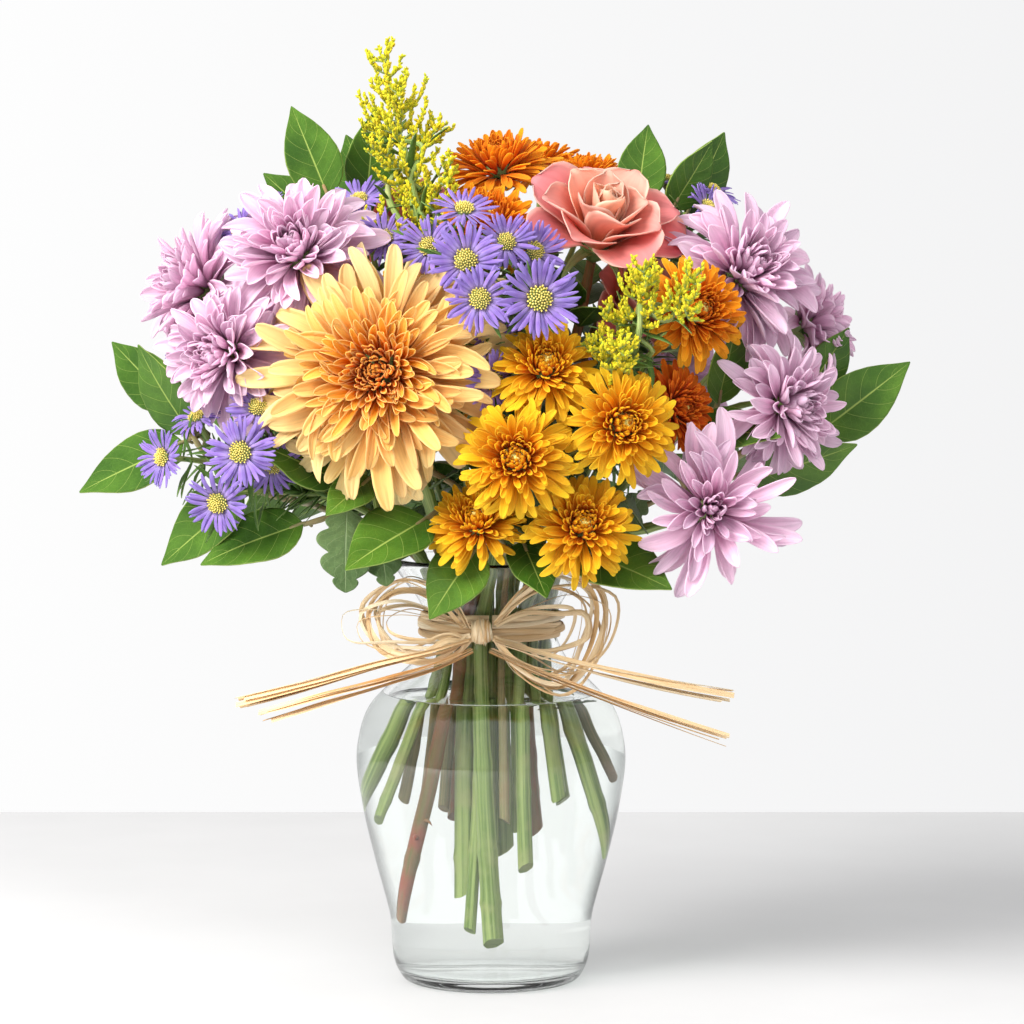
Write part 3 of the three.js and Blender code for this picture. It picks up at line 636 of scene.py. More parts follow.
def stalk(points, start_radius, end_radius, section, gap, bumps=0.12, cut=0.0):
    """A stem along a line, tapering, with joints; its cut end slants by the angle cut."""
    rough = np.asarray(points, float)
    count = max(6, int(np.linalg.norm(np.diff(rough, axis=0), axis=1).sum() / 0.0025))
    line = smooth_line(rough, count)
    length = np.linspace(0, 1, count) * np.linalg.norm(np.diff(line, axis=0), axis=1).sum()
    size = np.linspace(start_radius, end_radius, count) * swollen(length, gap, bumps)
    points, faces, marks = sweep(
        line, section, size, across=np.linspace(-1, 1, len(section)), tint=rng.random(), along=0
    )
    marks["along"] = np.repeat(length, len(section)) / 0.1
    if cut:
        ring = points[: len(section)]
        slant = (ring - line[0]) @ unit(np.array([rng.uniform(-1, 1), rng.uniform(-1, 1), 0]))
        points[: len(section)] += np.outer(slant, unit(line[1] - line[0])) * math.tan(cut)
    return points, faces, marks


def stem_finish(name, pale, deep, joint, roughness):
    """Fibrous stem skin: pale ribs over deep ones, with patches of the joint's colour."""
    finish, tree, shader = new_finish(name, roughness)
    fibres = streaks(tree, 1.2, 9.0, 4.0)
    base = fade(tree, fibres, (0.38, deep), (0.60, pale))
    patches = add_node(tree, "TexNoise", {"Scale": 55.0, "Detail": 3.0})
    tree.links.new(add_node(tree, "TexCoord").outputs["Object"], patches.inputs["Vector"])
    where = fade(tree, patches.outputs[0], (0.52, (0, 0, 0)), (0.68, (0.75, 0.75, 0.75)))
    colour = blended(tree, add_node(tree, "RGBToBW", {0: where}).outputs[0], base, joint)
    tree.links.new(colour, shader.inputs["Base Color"])
    relief(tree, shader, fibres, 0.0003, 0.6)
    shader.inputs["Subsurface Weight"].default_value = 0.1
    shader.inputs["Subsurface Radius"].default_value = (0.6, 1.0, 0.3)
    shader.inputs["Subsurface Scale"].default_value = 0.001
    return finish


green_stem = stem_finish("green stem", (0.35, 0.45, 0.14), (0.13, 0.22, 0.035), (0.40, 0.42, 0.17), 0.4)
rose_stem = stem_finish("rose stem", (0.26, 0.11, 0.05), (0.15, 0.13, 0.035), (0.32, 0.06, 0.035), 0.35)
twig_bark = stem_finish("salal twig", (0.34, 0.27, 0.13), (0.20, 0.20, 0.08), (0.36, 0.20, 0.10), 0.5)


def thorn(at, out, size):
    """A hooked thorn that bends back towards the foot of the stem."""
    line = smooth_line([at - 0.2 * size * out, at + 0.5 * size * out, at + size * (out - (0, 0, 0.35))], 7)
    taper = np.linspace(1, 0.08, 7) ** 1.2 * 0.36 * size
    return sweep(line, ribbed(3, 0, 8), taper, across=0.0, tint=0.8)


THORNS = 6
SLANT_OF_CUT = 0.7
shoots = {}
for node in stem_nodes:
    skeleton = Skeleton(node)
    ends = stem_ends(node)
    routes = [skeleton.route(point) for point, _ in ends]
    if len(routes) > 1:
        shared = min(map(len, routes))
        while len({tuple(route[:shared]) for route in routes}) > 1:
            shared -= 1
    else:
        shared = len(routes[0])
    woody = node.startswith(("salal", "rose"))
    section = ribbed(5 if woody else 7, 0.02 if woody else 0.05)
    trunk = list(skeleton.middles[routes[0][:shared]])
    if len(routes) == 1:
        trunk.append(ends[0][0])
    gap = 0.045 if node.startswith("rose") else 0.032
    top = 0.62 * skeleton.radius if len(routes) > 1 else 0.72 * skeleton.radius
    parts = [stalk(trunk, skeleton.radius * 1.02, top, section, gap, cut=SLANT_OF_CUT)]
    shoots[node] = [(np.array(trunk), skeleton.radius)]
    if len(routes) > 1:
        for (end, way), route in zip(ends, routes):
            between = list(skeleton.middles[route[shared:-1]])
            arriving = end - way * min(0.012, 0.3 * np.linalg.norm(end - trunk[-1]))
            line = [trunk[-2] * 0.15 + trunk[-1] * 0.85, *between, arriving, end]
            parts.append(stalk(line, 1.25 * BRANCH_RADIUS, 0.85 * BRANCH_RADIUS, section, 0.02, 0.2))
            shoots[node].append((np.array(line), BRANCH_RADIUS))
    if node.startswith("rose"):
        line = smooth_line(trunk, 40)
        for i in rng.choice(np.arange(3, 36), THORNS, replace=False):
            out = unit(np.cross(line[i + 1] - line[i], (*rng.uniform(-1, 1, 2), 0.2)))
            parts.append(thorn(line[i] + 0.85 * skeleton.radius * out, out, rng.uniform(0.004, 0.006)))
    finish = twig_bark if node.startswith("salal") else rose_stem if node.startswith("rose") else green_stem
    make_piece(f"{node}_wood" if woody else f"{node}_stalk", parts, finish, [node])

# ---- Salal leaves ------------------------------------------------------------------------------
# Leathery evergreen leaves on woody twigs: oval with a drawn-out tip, glossy mid green above and
# paler beneath, with a pale midrib and arching side veins sunk between softly quilted panels.

VEINS = 6
LEAF_THICKNESS = 0.0005


def sheet_quads(rows, columns):
    """The faces of a sheet of points."""
    first = (np.arange(rows - 1)[:, None] * columns + np.arange(columns - 1)).ravel()
    return np.column_stack([first, first + 1, first + columns + 1, first + columns])


def leaf_blade(base, tip, upper, width, outline, rows, columns, fold, droop, quilt, waves, lobes=0.0):
    """A leaf as one sheet of points, from its base to its tip, with a short stalk behind it."""
    along = tip - base
    length = np.linalg.norm(along)
    along = along / length
    over = unit(upper - along * (upper @ along))
    across = np.cross(over, along)
    s = np.linspace(0, 1, rows)[:, None]
    v = np.linspace(-1, 1, columns)[None, :]
    half = 0.5 * width * np.interp(s, *outline)
    half = half * (1 + lobes * (np.abs(np.sin(s * math.pi * 3.4 + 0.5)) ** 0.7 - 0.55))
    side = half * v
    phase = (s - 0.24 * np.abs(v) ** 1.2) * VEINS + rng.random()
    panel = np.cos(2 * math.pi * phase) * (1 - np.abs(v) ** 3) * np.minimum(1, 4 * np.abs(v))
    wave = np.sin(2 * math.pi * (waves * s + rng.random())) * v**2 + np.sin(
        2 * math.pi * (waves * 0.7 * s + rng.random())) * v**2 * np.sign(v)
    rise = (
        fold * np.abs(side) * (1 - 0.4 * s) - droop * length * (s - 0.35) ** 2 * np.sign(s - 0.35)
        - quilt * panel * np.sin(math.pi * s) + 0.012 * length * wave * np.sin(math.pi * s)
    )
    bend = rng.uniform(-0.05, 0.05) * length * s**2
    points = (
        base + (s * length)[..., None] * along + (side + bend)[..., None] * across + rise[..., None] * over
    )
    marks = {
        "along": np.repeat(s.ravel(), columns), "across": np.tile(v.ravel(), rows),
        "tint": rng.random(), "panel": phase.ravel(),
    }
    return points.reshape(-1, 3), sheet_quads(rows, columns), marks


def thicken(piece, thickness):
    """Gives a piece of sheets its thickness, half on either side."""
    solid = piece.modifiers.new("thickness", "SOLIDIFY")
    solid.thickness = thickness
    solid.offset = 0


def leaf_finish(name, dark, light, vein, under, roughness, coat):
    """A leaf: blotched green above with paler veins and rim, another green beneath."""
    finish, tree, shader = new_finish(name, roughness)
    across, panel = mark(tree, "across"), mark(tree, "panel")
    side = sums(tree, "ABSOLUTE", across)
    # The side veins run where the panels meet, fine at the edge and broad at the midrib.
    from_vein = sums(tree, "ABSOLUTE", sums(tree, "SUBTRACT", sums(tree, "FRACT", panel), 0.5))
    side_vein = sums(tree, "SUBTRACT", 1.0, sums(tree, "MULTIPLY", from_vein, 44.0))
    side_vein = sums(tree, "MULTIPLY", sums(tree, "MAXIMUM", side_vein, 0.0), 0.8)
    midrib = sums(tree, "SUBTRACT", 1.3, sums(tree, "MULTIPLY", side, 30.0))
    midrib = sums(tree, "MAXIMUM", midrib, 0.0)
    rim = sums(tree, "MAXIMUM", sums(tree, "SUBTRACT", sums(tree, "MULTIPLY", side, 24.0), 23.2), 0.0)
    lines = sums(tree, "MINIMUM", sums(tree, "ADD", sums(tree, "MAXIMUM", side_vein, midrib), rim), 1.0)
    where = add_node(tree, "TexCoord").outputs["Object"]
    net = add_node(tree, "TexVoronoi", {"Vector": where, "Scale": 420.0}, feature="DISTANCE_TO_EDGE")
    fine = sums(tree, "MINIMUM", sums(tree, "MULTIPLY", net.outputs["Distance"], 9.0), 1.0)
    blotch = add_node(tree, "TexNoise", {"Vector": where, "Scale": 45.0, "Detail": 4.0}).outputs[0]
    blade = blended(tree, fade(tree, blotch, (0.35, (0, 0, 0)), (0.65, (1, 1, 1))), dark, light)
    tone = fade(tree, mark(tree, "tint"), (0.0, (0.70, 0.76, 0.66)), (1.0, (1.2, 1.1, 1.1)))
    blade = blended(tree, 1.0, blade, tone, "MULTIPLY")
    meshed = fade(tree, fine, (0.0, (1.45, 1.35, 1.5)), (0.5, (1.0, 1.0, 1.0)))
    blade = blended(tree, 0.6, blade, meshed, "MULTIPLY")
    blade = blended(tree, sums(tree, "MULTIPLY", lines, 0.75), blade, vein)
    back = add_node(tree, "NewGeometry").outputs["Backfacing"]
    tree.links.new(blended(tree, back, blade, under), shader.inputs["Base Color"])
    height = sums(tree, "SUBTRACT", sums(tree, "MULTIPLY", fine, 0.25), lines)
    relief(tree, shader, height, 0.0003, 0.5)
    shader.inputs["Specular IOR Level"].default_value = 0.3
    shader.inputs["Coat Weight"].default_value = coat
    shader.inputs["Coat Roughness"].default_value = 0.25
    return finish


SALAL_OUTLINE = (
    [0, 0.02, 0.06, 0.13, 0.22, 0.33, 0.45, 0.57, 0.68, 0.78, 0.86, 0.92, 0.97, 1],
    [0.05, 0.22, 0.50, 0.76, 0.93, 1.0, 0.98, 0.88, 0.72, 0.52, 0.33, 0.19, 0.09, 0.02],
)
salal_green = leaf_finish(
    "salal leaf", (0.034, 0.095, 0.010), (0.075, 0.17, 0.018), (0.34, 0.44, 0.10), (0.22, 0.34, 0.10),
    0.45, 0.06,
)


def petiole(base, tip, upper, length, radius):
    """The short stalk behind a leaf."""
    way = unit(tip - base)
    back = base - way * length * 0.6 - unit(upper) * length * 0.5
    line = smooth_line([back, base - way * 0.002, base + way * 0.006], 9)
    return sweep(line, ribbed(3, 0, 8), np.linspace(0.8, 1, 9) * radius, across=0.0, tint=0.4)


PETIOLE_LENGTH, PETIOLE_RADIUS = 0.006, 0.0009
for node in [node for node in stem_nodes if leaves[node] and "mum" not in node]:
    broader = 1.3 if "front" in node else 1.1
    blades = [
        leaf_blade(
            base, tip, upper, broader * width, SALAL_OUTLINE, 48, 21, rng.uniform(0.10, 0.30),
            rng.uniform(0.02, 0.16), 0.00016, rng.uniform(1.5, 2.6),
        )
        for base, tip, upper, width in leaves[node]
    ]
    thicken(make_piece(f"{node}_leaves", blades, salal_green, [node]), LEAF_THICKNESS)
    stalks = [
        petiole(base, tip, upper, PETIOLE_LENGTH, PETIOLE_RADIUS)
        for base, tip, upper, _ in leaves[node]
    ]
    make_piece(f"{node}_leaf_stalks", stalks, twig_bark, [node])

# ---- Chrysanthemum leaves ----------------------------------------------------------------------
# Softer grey-green leaves on the mums' own stems, cut into rounded lobes, matt and a little limp.

MUM_OUTLINE = (
    [0, 0.05, 0.15, 0.3, 0.45, 0.6, 0.75, 0.88, 0.96, 1],
    [0.12, 0.35, 0.75, 1.0, 1.0, 0.92, 0.78, 0.55, 0.28, 0.04],
)
mum_green = leaf_finish(
    "chrysanthemum leaf", (0.075, 0.13, 0.05), (0.13, 0.20, 0.08), (0.24, 0.31, 0.16),
    (0.22, 0.29, 0.17), 0.6, 0.0,
)
for node in [node for node in stem_nodes if leaves[node] and "mum" in node]:
    blades = [
        leaf_blade(
            base, tip, upper, 1.1 * width, MUM_OUTLINE, 56, 19, rng.uniform(0.1, 0.3),
            rng.uniform(0.1, 0.25), 0.0003, 2.0, lobes=0.55,
        )
        for base, tip, upper, width in leaves[node]
    ]
    thicken(make_piece(f"{node}_leaves", blades, mum_green, [node]), LEAF_THICKNESS)

# ---- Small foliage -----------------------------------------------------------------------------
# What else grows on the stems: needle-thin leaves on the aster shoots, narrow ones on the goldenrod,
# toothed leaflets on the roses and small lobed leaves on the mums, some left on under the water.

THIN_LEAF = 0.00035
NEEDLE = ([0, 0.1, 0.5, 0.85, 1], [0.3, 0.8, 1.0, 0.6, 0.05])
OVAL = ([0, 0.08, 0.3, 0.55, 0.8, 0.94, 1], [0.1, 0.5, 0.98, 1.0, 0.66, 0.26, 0.03])
aster_green = leaf_finish(
    "aster leaf", (0.055, 0.12, 0.025), (0.10, 0.20, 0.04), (0.20, 0.30, 0.09), (0.14, 0.22, 0.08),
    0.5, 0.0,
)
#       outline, length, width, lobes, spacing along the shoot, leaves at each place, bare end, finish
SMALL_LEAVES = {
    "aster": (NEEDLE, 0.020, 0.0022, 0.0, 0.0055, 3, 0.007, aster_green),
    "goldenrod": (NEEDLE, 0.017, 0.0026, 0.0, 0.011, 1, 0.006, aster_green),
    "rose": (OVAL, 0.028, 0.017, 0.0, 0.009, 2, 0.012, salal_green),
    "mum": (MUM_OUTLINE, 0.024, 0.015, 0.55, 0.014, 1, 0.032, mum_green),
}
for node in stem_nodes:
    kind = next((kind for kind in SMALL_LEAVES if kind in node), None)
    if kind is None:
        continue
    rng = np.random.default_rng(700 + stem_nodes.index(node))
    outline, long, wide, lobes, spacing, together, bare, finish = SMALL_LEAVES[kind]
    blades = []
    for route, radius in shoots[node]:
        span = np.linalg.norm(np.diff(route, axis=0), axis=1).sum()
        line = smooth_line(route, max(8, int(span / 0.001)))
        side, up = carried_frames(line)
        places = np.arange(rng.uniform(0.2, 1) * spacing, span - bare, spacing) / span * (len(line) - 1)
        for place in places.astype(int):
            at = line[place]
            # Leaves are stripped off below the neck, but for a few stubs near the water's surface.
            wet = water_level - 0.016 < at[2] < water_level + 0.004 and kind == "mum"
            if at[2] < glass_height + 0.004 and not wet:
                continue
            for k in range(2 if wet else together):
                turn = rng.uniform(0, math.tau)
                out = side[place] * math.cos(turn) + up[place] * math.sin(turn)
                along = unit(line[min(place + 4, len(line) - 1)] - line[max(place - 4, 0)])
                way = unit(out + rng.uniform(0.2, 0.9) * along + (0, 0, -0.5 if wet else 0))
                size = rng.uniform(0.7, 1.2) * (0.45 if wet else 1)
                start = at + out * radius * 0.8
                tip = start + way * long * size
                if np.hypot(*tip[:2]) < 0.3 * np.hypot(*at[:2]) and not wet:
                    continue
                over = unit(np.cross(np.cross(way, along + (0, 0, 0.4)), way))
                rows, columns = (26, 9) if kind in ("mum", "rose") else (9, 3)
                blades.append(leaf_blade(
                    start, tip, over, wide * size, outline, rows, columns, 0.25,
                    rng.uniform(0.05, 0.3), 0.00008, 1.0, lobes=lobes,
                ))
    if blades:
        piece = make_piece(f"{node}_small_leaves", blades, finish, [node])
        thicken(piece, THIN_LEAF)

# ---- Peach chrysanthemum -----------------------------------------------------------------------
# The largest bloom, a double decorative mum. Broad pale apricot petals with rounded tips and faint
# grooves droop at its rim, shorter orange ones with light rims stand over them, and a swirl of small
# dark red quills closes its heart.

GOLDEN_ANGLE = math.radians(137.508)
PETAL_THICKNESS = 0.00035
PETAL_ROWS = np.array([0, 0.14, 0.3, 0.46, 0.62, 0.75, 0.86, 0.94, 0.985, 1])


def petals(age, root, rise, bend, length, width, cup, outline, columns=7, groove=0.0, jitter=1.0,
           turn=None, rows=PETAL_ROWS, point=0.0):
    """Petals as sheets of points round an axis, in the bloom's own frame: it faces +Z. Every petal has
    its age (0 at the heart, 1 at the rim), root (out from the axis, up), rise and bend (angles), length,
    width and cup (how far its sides curl up, as an angle)."""
    k = len(age)
    s, v = rows, np.linspace(-1, 1, columns)
    root = [np.broadcast_to(place, k)[:, None] for place in root]
    rise = rise + rng.normal(0, 0.07, k) * jitter
    length = length * (1 + rng.normal(0, 0.06, k) * jitter)
    width = width * (1 + rng.normal(0, 0.07, k) * jitter)
    angle = rise[:, None] + (bend + rng.normal(0, 0.08, k) * jitter)[:, None] * s**1.6
    step = np.diff(s, prepend=0)
    mid = angle.copy()
    mid[:, 1:] = 0.5 * (angle[:, 1:] + angle[:, :-1])
    out = root[0] + np.cumsum(length[:, None] * step * np.cos(mid), axis=1)
    up = root[1] + np.cumsum(length[:, None] * step * np.sin(mid), axis=1)
    half = 0.5 * width[:, None] * np.interp(s, *outline)
    cup = np.broadcast_to(cup, k)[:, None, None]
    aside = half[..., None] * np.sin(cup * v) / cup
    lift = half[..., None] * (1 - np.cos(cup * v)) / cup
    lift = lift + groove * half[..., None] * (np.cos(2.5 * math.pi * v) - 1) * (0.3 + 0.7 * s[:, None])
    lift = lift + 0.05 * half[..., None] * rng.normal(0, 1, (k, 1, 1)) * v * s[:, None] * 3
    roll = (rng.normal(0, 0.16, k) * jitter)[:, None] * s
    aside, lift = (
        aside * np.cos(roll)[..., None] - lift * np.sin(roll)[..., None],
        lift * np.cos(roll)[..., None] + aside * np.sin(roll)[..., None],
    )
    notch = point * length[:, None, None] * (1 - v**2) * np.clip((s[:, None] - 0.8) / 0.2, 0, 1) ** 2
    out3 = out[..., None] - lift * np.sin(angle)[..., None] + notch * np.cos(angle)[..., None]
    up3 = up[..., None] + lift * np.cos(angle)[..., None] + notch * np.sin(angle)[..., None]
    if turn is None:
        turn = np.arange(k) * GOLDEN_ANGLE + rng.normal(0, 0.09, k) * jitter
    sway = (rng.normal(0, 0.10, k) * jitter)[:, None, None] * s[:, None] ** 1.5
    turn = turn[:, None, None] + sway
    points = np.stack(
        [out3 * np.cos(turn) - aside * np.sin(turn), out3 * np.sin(turn) + aside * np.cos(turn), up3],
        axis=-1,
    ).reshape(-1, 3)
    n, m = len(s), columns
    one = sheet_quads(n, m)[:, [0, 3, 2, 1]]
    faces = (one[None] + (np.arange(k) * n * m)[:, None, None]).reshape(-1, 4)
    marks = {
        "age": np.repeat(age, n * m), "along": np.tile(np.repeat(s, m), k),
        "across": np.tile(v, n * k), "tint": np.repeat(rng.random(k), n * m),
    }
    return points, faces, marks


def set_facing(part, middle, facing, turn=0.0):
    """Moves a part from its own frame, where it faces +Z, to its place."""
    points, faces, marks = part
    across = unit(np.cross((0.0, 0.0, 1.0), facing) if abs(facing[2]) < 0.99 else np.array([1.0, 0, 0]))
    over = np.cross(facing, across)
    c, s = math.cos(turn), math.sin(turn)
    x, y = points[:, :1] * c - points[:, 1:2] * s, points[:, :1] * s + points[:, 1:2] * c
    return middle + x * across + y * over + points[:, 2:] * facing, faces, marks


def ball(radius, height, middle, sides, **marks):
    """A round or flattened ball about the upright axis."""
    rise = np.linspace(-0.5, 0.5, 9)[1:-1] * math.pi
    bulge = [(radius * math.cos(a), middle + height * math.sin(a)) for a in rise]
    return turned([(0, middle - height), *bulge, (0, middle + height)], sides, **marks)


BRACTS = 14


def calyx(radius, root, depth):
    """The green cup of small bracts behind a bloom, down to the stalk's end."""
    bracts = petals(
        np.ones(BRACTS), (0.1 * radius, -depth), 0.75, -0.75, 0.42 * radius, 0.15 * radius, 0.6,
        ([0, 0.5, 0.85, 1], [0.7, 1, 0.6, 0.1]), columns=5,
    )
    cup = turned(
        [(0, -depth), (0.10 * radius, -depth), (0.17 * radius, -depth * 0.8), (0.22 * radius, root),
         (0, root + 0.02 * radius)], 16, along=0.3, tint=0.4,
    )
    return [bracts, cup]


def petal_finish(name, core, middle, outer, rim, glow=0.38, rim_strength=0.35):
    """A petal: its colours run from base to tip, and change from the heart's petals to the rim's."""
    finish, tree, shader = new_finish(name, 0.55)
    along, age, across = mark(tree, "along"), mark(tree, "age"), mark(tree, "across")
    older = sums(tree, "MULTIPLY", age, 2.0)
    first = sums(tree, "MINIMUM", older, 1.0)
    second = sums(tree, "MAXIMUM", sums(tree, "SUBTRACT", older, 1.0), 0.0)
    colour = blended(tree, first, fade(tree, along, *core), fade(tree, along, *middle))
    colour = blended(tree, second, colour, fade(tree, along, *outer))
    edge = sums(tree, "POWER", sums(tree, "ABSOLUTE", across), 5.0)
    edge = sums(tree, "MULTIPLY", edge, rim_strength)
    colour = blended(tree, edge, colour, rim)
    lines = streaks(tree, 1.4, 5.5, 3.0)
    shade = fade(tree, lines, (0.30, (0.86, 0.86, 0.86)), (0.62, (1.0, 1.0, 1.0)))
    colour = blended(tree, 1.0, colour, shade, "MULTIPLY")
    tint = mark(tree, "tint")
    hue = sums(tree, "ADD", 0.492, sums(tree, "MULTIPLY", tint, 0.016))
    value = sums(tree, "ADD", 0.90, sums(tree, "MULTIPLY", tint, 0.18))
    toned = add_node(tree, "HueSaturation", {"Hue": hue, "Value": value, "Color": colour})
    tone = toned.outputs[0]
    tree.links.new(tone, shader.inputs["Base Color"])
    relief(tree, shader, lines, 0.0004, 0.7)
    shader.inputs["Sheen Weight"].default_value = 0.04
    shader.inputs["Specular IOR Level"].default_value = 0.18
    lit_through = add_node(tree, "BsdfTranslucent", {"Color": tone})
    mix = add_node(tree, "MixShader", {0: glow})
    tree.links.new(shader.outputs[0], mix.inputs[1])
    tree.links.new(lit_through.outputs[0], mix.inputs[2])
    tree.links.new(mix.outputs[0], tree.nodes["Material Output"].inputs["Surface"])
    return finish


calyx_green = stem_finish("calyx green", (0.30, 0.38, 0.14), (0.16, 0.26, 0.08), (0.34, 0.36, 0.16), 0.5)
SPOON = ([0, 0.15, 0.4, 0.62, 0.8, 0.92, 0.98, 1], [0.40, 0.52, 0.80, 1.0, 0.98, 0.78, 0.45, 0.16])


def bud_finish(name, roughness, colours, tints):
    """Small florets and buds: green at the foot and yellow at the tip, each a little different."""
    finish, tree, shader = new_finish(name, roughness)
    colour = fade(tree, mark(tree, "along"), *zip((0.0, 0.5, 1.0), colours))
    tone = fade(tree, mark(tree, "tint"), *zip((0.0, 1.0), tints))
    tree.links.new(blended(tree, 1.0, colour, tone, "MULTIPLY"), shader.inputs["Base Color"])
    relief(tree, shader, streaks(tree, 6.0, 4.0), 0.0002, 0.5)
    return finish


disc_yellow = bud_finish(
    "disc florets", 0.6, [(0.26, 0.30, 0.03), (0.62, 0.52, 0.05), (0.90, 0.78, 0.25)],
    [(0.75, 0.75, 0.7), (1.1, 1.05, 1.0)],
)
BUD_SIDES = 5


def buds(feet, ways, start, tall, thick, levels):
    """Small closed buds, each from its foot along its way, as wide at each level as is said."""
    count, m, n = len(feet), BUD_SIDES, len(levels)
    side = unit(np.cross(ways, start))
    over = np.cross(ways, side)
    ring = np.arange(m) * math.tau / m
    around = np.cos(ring)[:, None] * side[:, None] + np.sin(ring)[:, None] * over[:, None]
    thick = np.broadcast_to(thick, count)
    points = np.stack([
        feet[:, None] + (level * tall)[:, None, None] * ways[:, None]
        + (thick * size)[:, None, None] * around
        for level, size in levels
    ], axis=1).reshape(-1, 3)
    first = np.arange(count)[:, None, None] * n * m
    faces = (first + ring_quads(n, m)).reshape(-1, 4).tolist()
    for k in range(count):
        bottom, top = k * n * m, (k * n + n - 1) * m
        faces += [list(range(bottom, bottom + m))[::-1], list(range(top, top + m))]
    marks = {
        "along": np.tile(np.repeat([level for level, _ in levels], m), count), "across": 0.0,
        "tint": np.repeat(rng.random(count), n * m),
    }
    return points, faces, marks


def florets(count, radius, height, thick, rise):
    """Small blunt florets set in a golden spiral over a dome, all in one go."""
    i = np.arange(count)
    share = (i + 0.5) / count
    turn, out = i * GOLDEN_ANGLE, radius * np.sqrt(share)
    tilt = share * 0.6
    way = np.column_stack([np.sin(tilt) * np.cos(turn), np.sin(tilt) * np.sin(turn), np.cos(tilt)])
    foot = np.column_stack([out * np.cos(turn), out * np.sin(turn), height * (1 - share)])
    tall = rise * rng.uniform(0.75, 1.2, count)
    blunt = [(0.0, 0.7), (0.6, 1.0), (0.88, 1.0), (1.0, 0.35)]
    return buds(foot, way, (0.3, 0.1, 1.0), tall, thick, blunt)


def mum(node, finish, slot, count, size, groove, jitter, outline=SPOON, disc=0.0, **shape):
    """A double chrysanthemum. Each of shape's values is a row of readings from the heart to the rim:
    where a petal's root is, how it rises and bends, and its size, against the bloom's radius."""
    middle, facing, radius, depth = blooms[node]
    radius = radius * size
    age = (np.arange(count) + 0.5) / count
    at = {key: np.interp(age, np.linspace(0, 1, len(row)), row) for key, row in shape.items()}
    part = petals(
        age, (at["out"] * radius, at["up"] * radius), np.radians(at["rise"]), np.radians(at["bend"]),
        at["length"] * radius, at["width"] * radius, at["cup"], outline, groove=groove, jitter=jitter,
    )
    crown, foot = at["up"][[0, -1]] * radius
    core = ball(
        0.8 * at["out"][-1] * radius, 0.5 * (crown - foot), 0.5 * (crown + foot), 16, along=0.2, tint=0.5
    )
    turn = rng.uniform(0, 6)
    petals_piece = make_piece(
        f"{node}_petals", [set_facing(part, middle, facing, turn)], finish, [node]
    )
    thicken(petals_piece, PETAL_THICKNESS)
    if disc:
        dome = florets(60, disc * radius, 0.6 * disc * radius, 0.028 * radius, 0.10 * radius)
        raised = (dome[0] + (0, 0, crown), *dome[1:])
        make_piece(f"{node}_disc", [set_facing(raised, middle, facing)], disc_yellow, [node])
    back = [set_facing(part, middle, facing, turn) for part in calyx(radius, foot, depth)]
    back.append(set_facing(core, middle, facing))
    make_piece(f"{node}_calyx", back, calyx_green, [node])


peach_petal = petal_finish(
    "peach petal",
    [(0.0, (0.66, 0.03, 0.008)), (0.5, (0.92, 0.12, 0.008)), (1.0, (1.0, 0.44, 0.06))],
    [(0.0, (0.99, 0.22, 0.004)), (0.45, (1.0, 0.40, 0.010)), (1.0, (1.0, 0.62, 0.10))],
    [(0.0, (0.95, 0.52, 0.09)), (0.35, (1.0, 0.74, 0.28)), (1.0, (1.0, 0.84, 0.47))],
    (1.0, 0.86, 0.48),
)
rng = np.random.default_rng(21)
mum(
    "peach_mum", peach_petal, "petal_peach", 430, 1.16, groove=0.08, jitter=2.0,
    out=[0.01, 0.11, 0.18, 0.23, 0.26, 0.25], up=[0.0, 0.0, -0.04, -0.10, -0.20, -0.32],
    rise=[80, 70, 58, 42, 22, 4], bend=[46, 30, 4, -24, -40, -56],
    length=[0.12, 0.19, 0.28, 0.42, 0.70, 0.96], width=[0.034, 0.055, 0.08, 0.115, 0.165, 0.205],
    cup=[1.2, 1.3, 1.3, 1.1, 0.8, 0.6],
)

# ---- Gold and orange chrysanthemums ------------------------------------------------------------
# Small double spray mums, several to a stem. Yellow-gold petals lie flat at the rim, and over
# them a tight dome of red-orange ones with yellow edges curls in; the orange ones are deeper and
# redder in the heart.

gold_petal = petal_finish(
    "gold petal",
    [(0.0, (0.50, 0.03, 0.002)), (0.65, (0.82, 0.10, 0.003)), (1.0, (0.98, 0.50, 0.02))],
    [(0.0, (0.82, 0.12, 0.002)), (0.45, (0.95, 0.32, 0.004)), (1.0, (1.0, 0.62, 0.02))],
    [(0.0, (0.92, 0.26, 0.003)), (0.3, (0.99, 0.54, 0.01)), (1.0, (1.0, 0.72, 0.04))],
    (1.0, 0.72, 0.05),
)
orange_petal = petal_finish(
    "orange petal",
    [(0.0, (0.36, 0.02, 0.003)), (0.6, (0.66, 0.06, 0.003)), (1.0, (0.88, 0.22, 0.02))],
    [(0.0, (0.70, 0.07, 0.002)), (0.45, (0.88, 0.16, 0.003)), (1.0, (0.98, 0.36, 0.012))],
    [(0.0, (0.86, 0.15, 0.003)), (0.35, (0.97, 0.33, 0.006)), (1.0, (1.0, 0.54, 0.03))],
    (1.0, 0.56, 0.05),
)
red_orange_petal = petal_finish(
    "red-orange petal",
    [(0.0, (0.25, 0.015, 0.005)), (0.6, (0.50, 0.04, 0.005)), (1.0, (0.72, 0.13, 0.01))],
    [(0.0, (0.50, 0.03, 0.005)), (0.5, (0.76, 0.08, 0.005)), (1.0, (0.88, 0.20, 0.01))],
    [(0.0, (0.66, 0.05, 0.005)), (0.4, (0.84, 0.13, 0.008)), (1.0, (0.92, 0.27, 0.02))],
    (0.94, 0.36, 0.04),
)
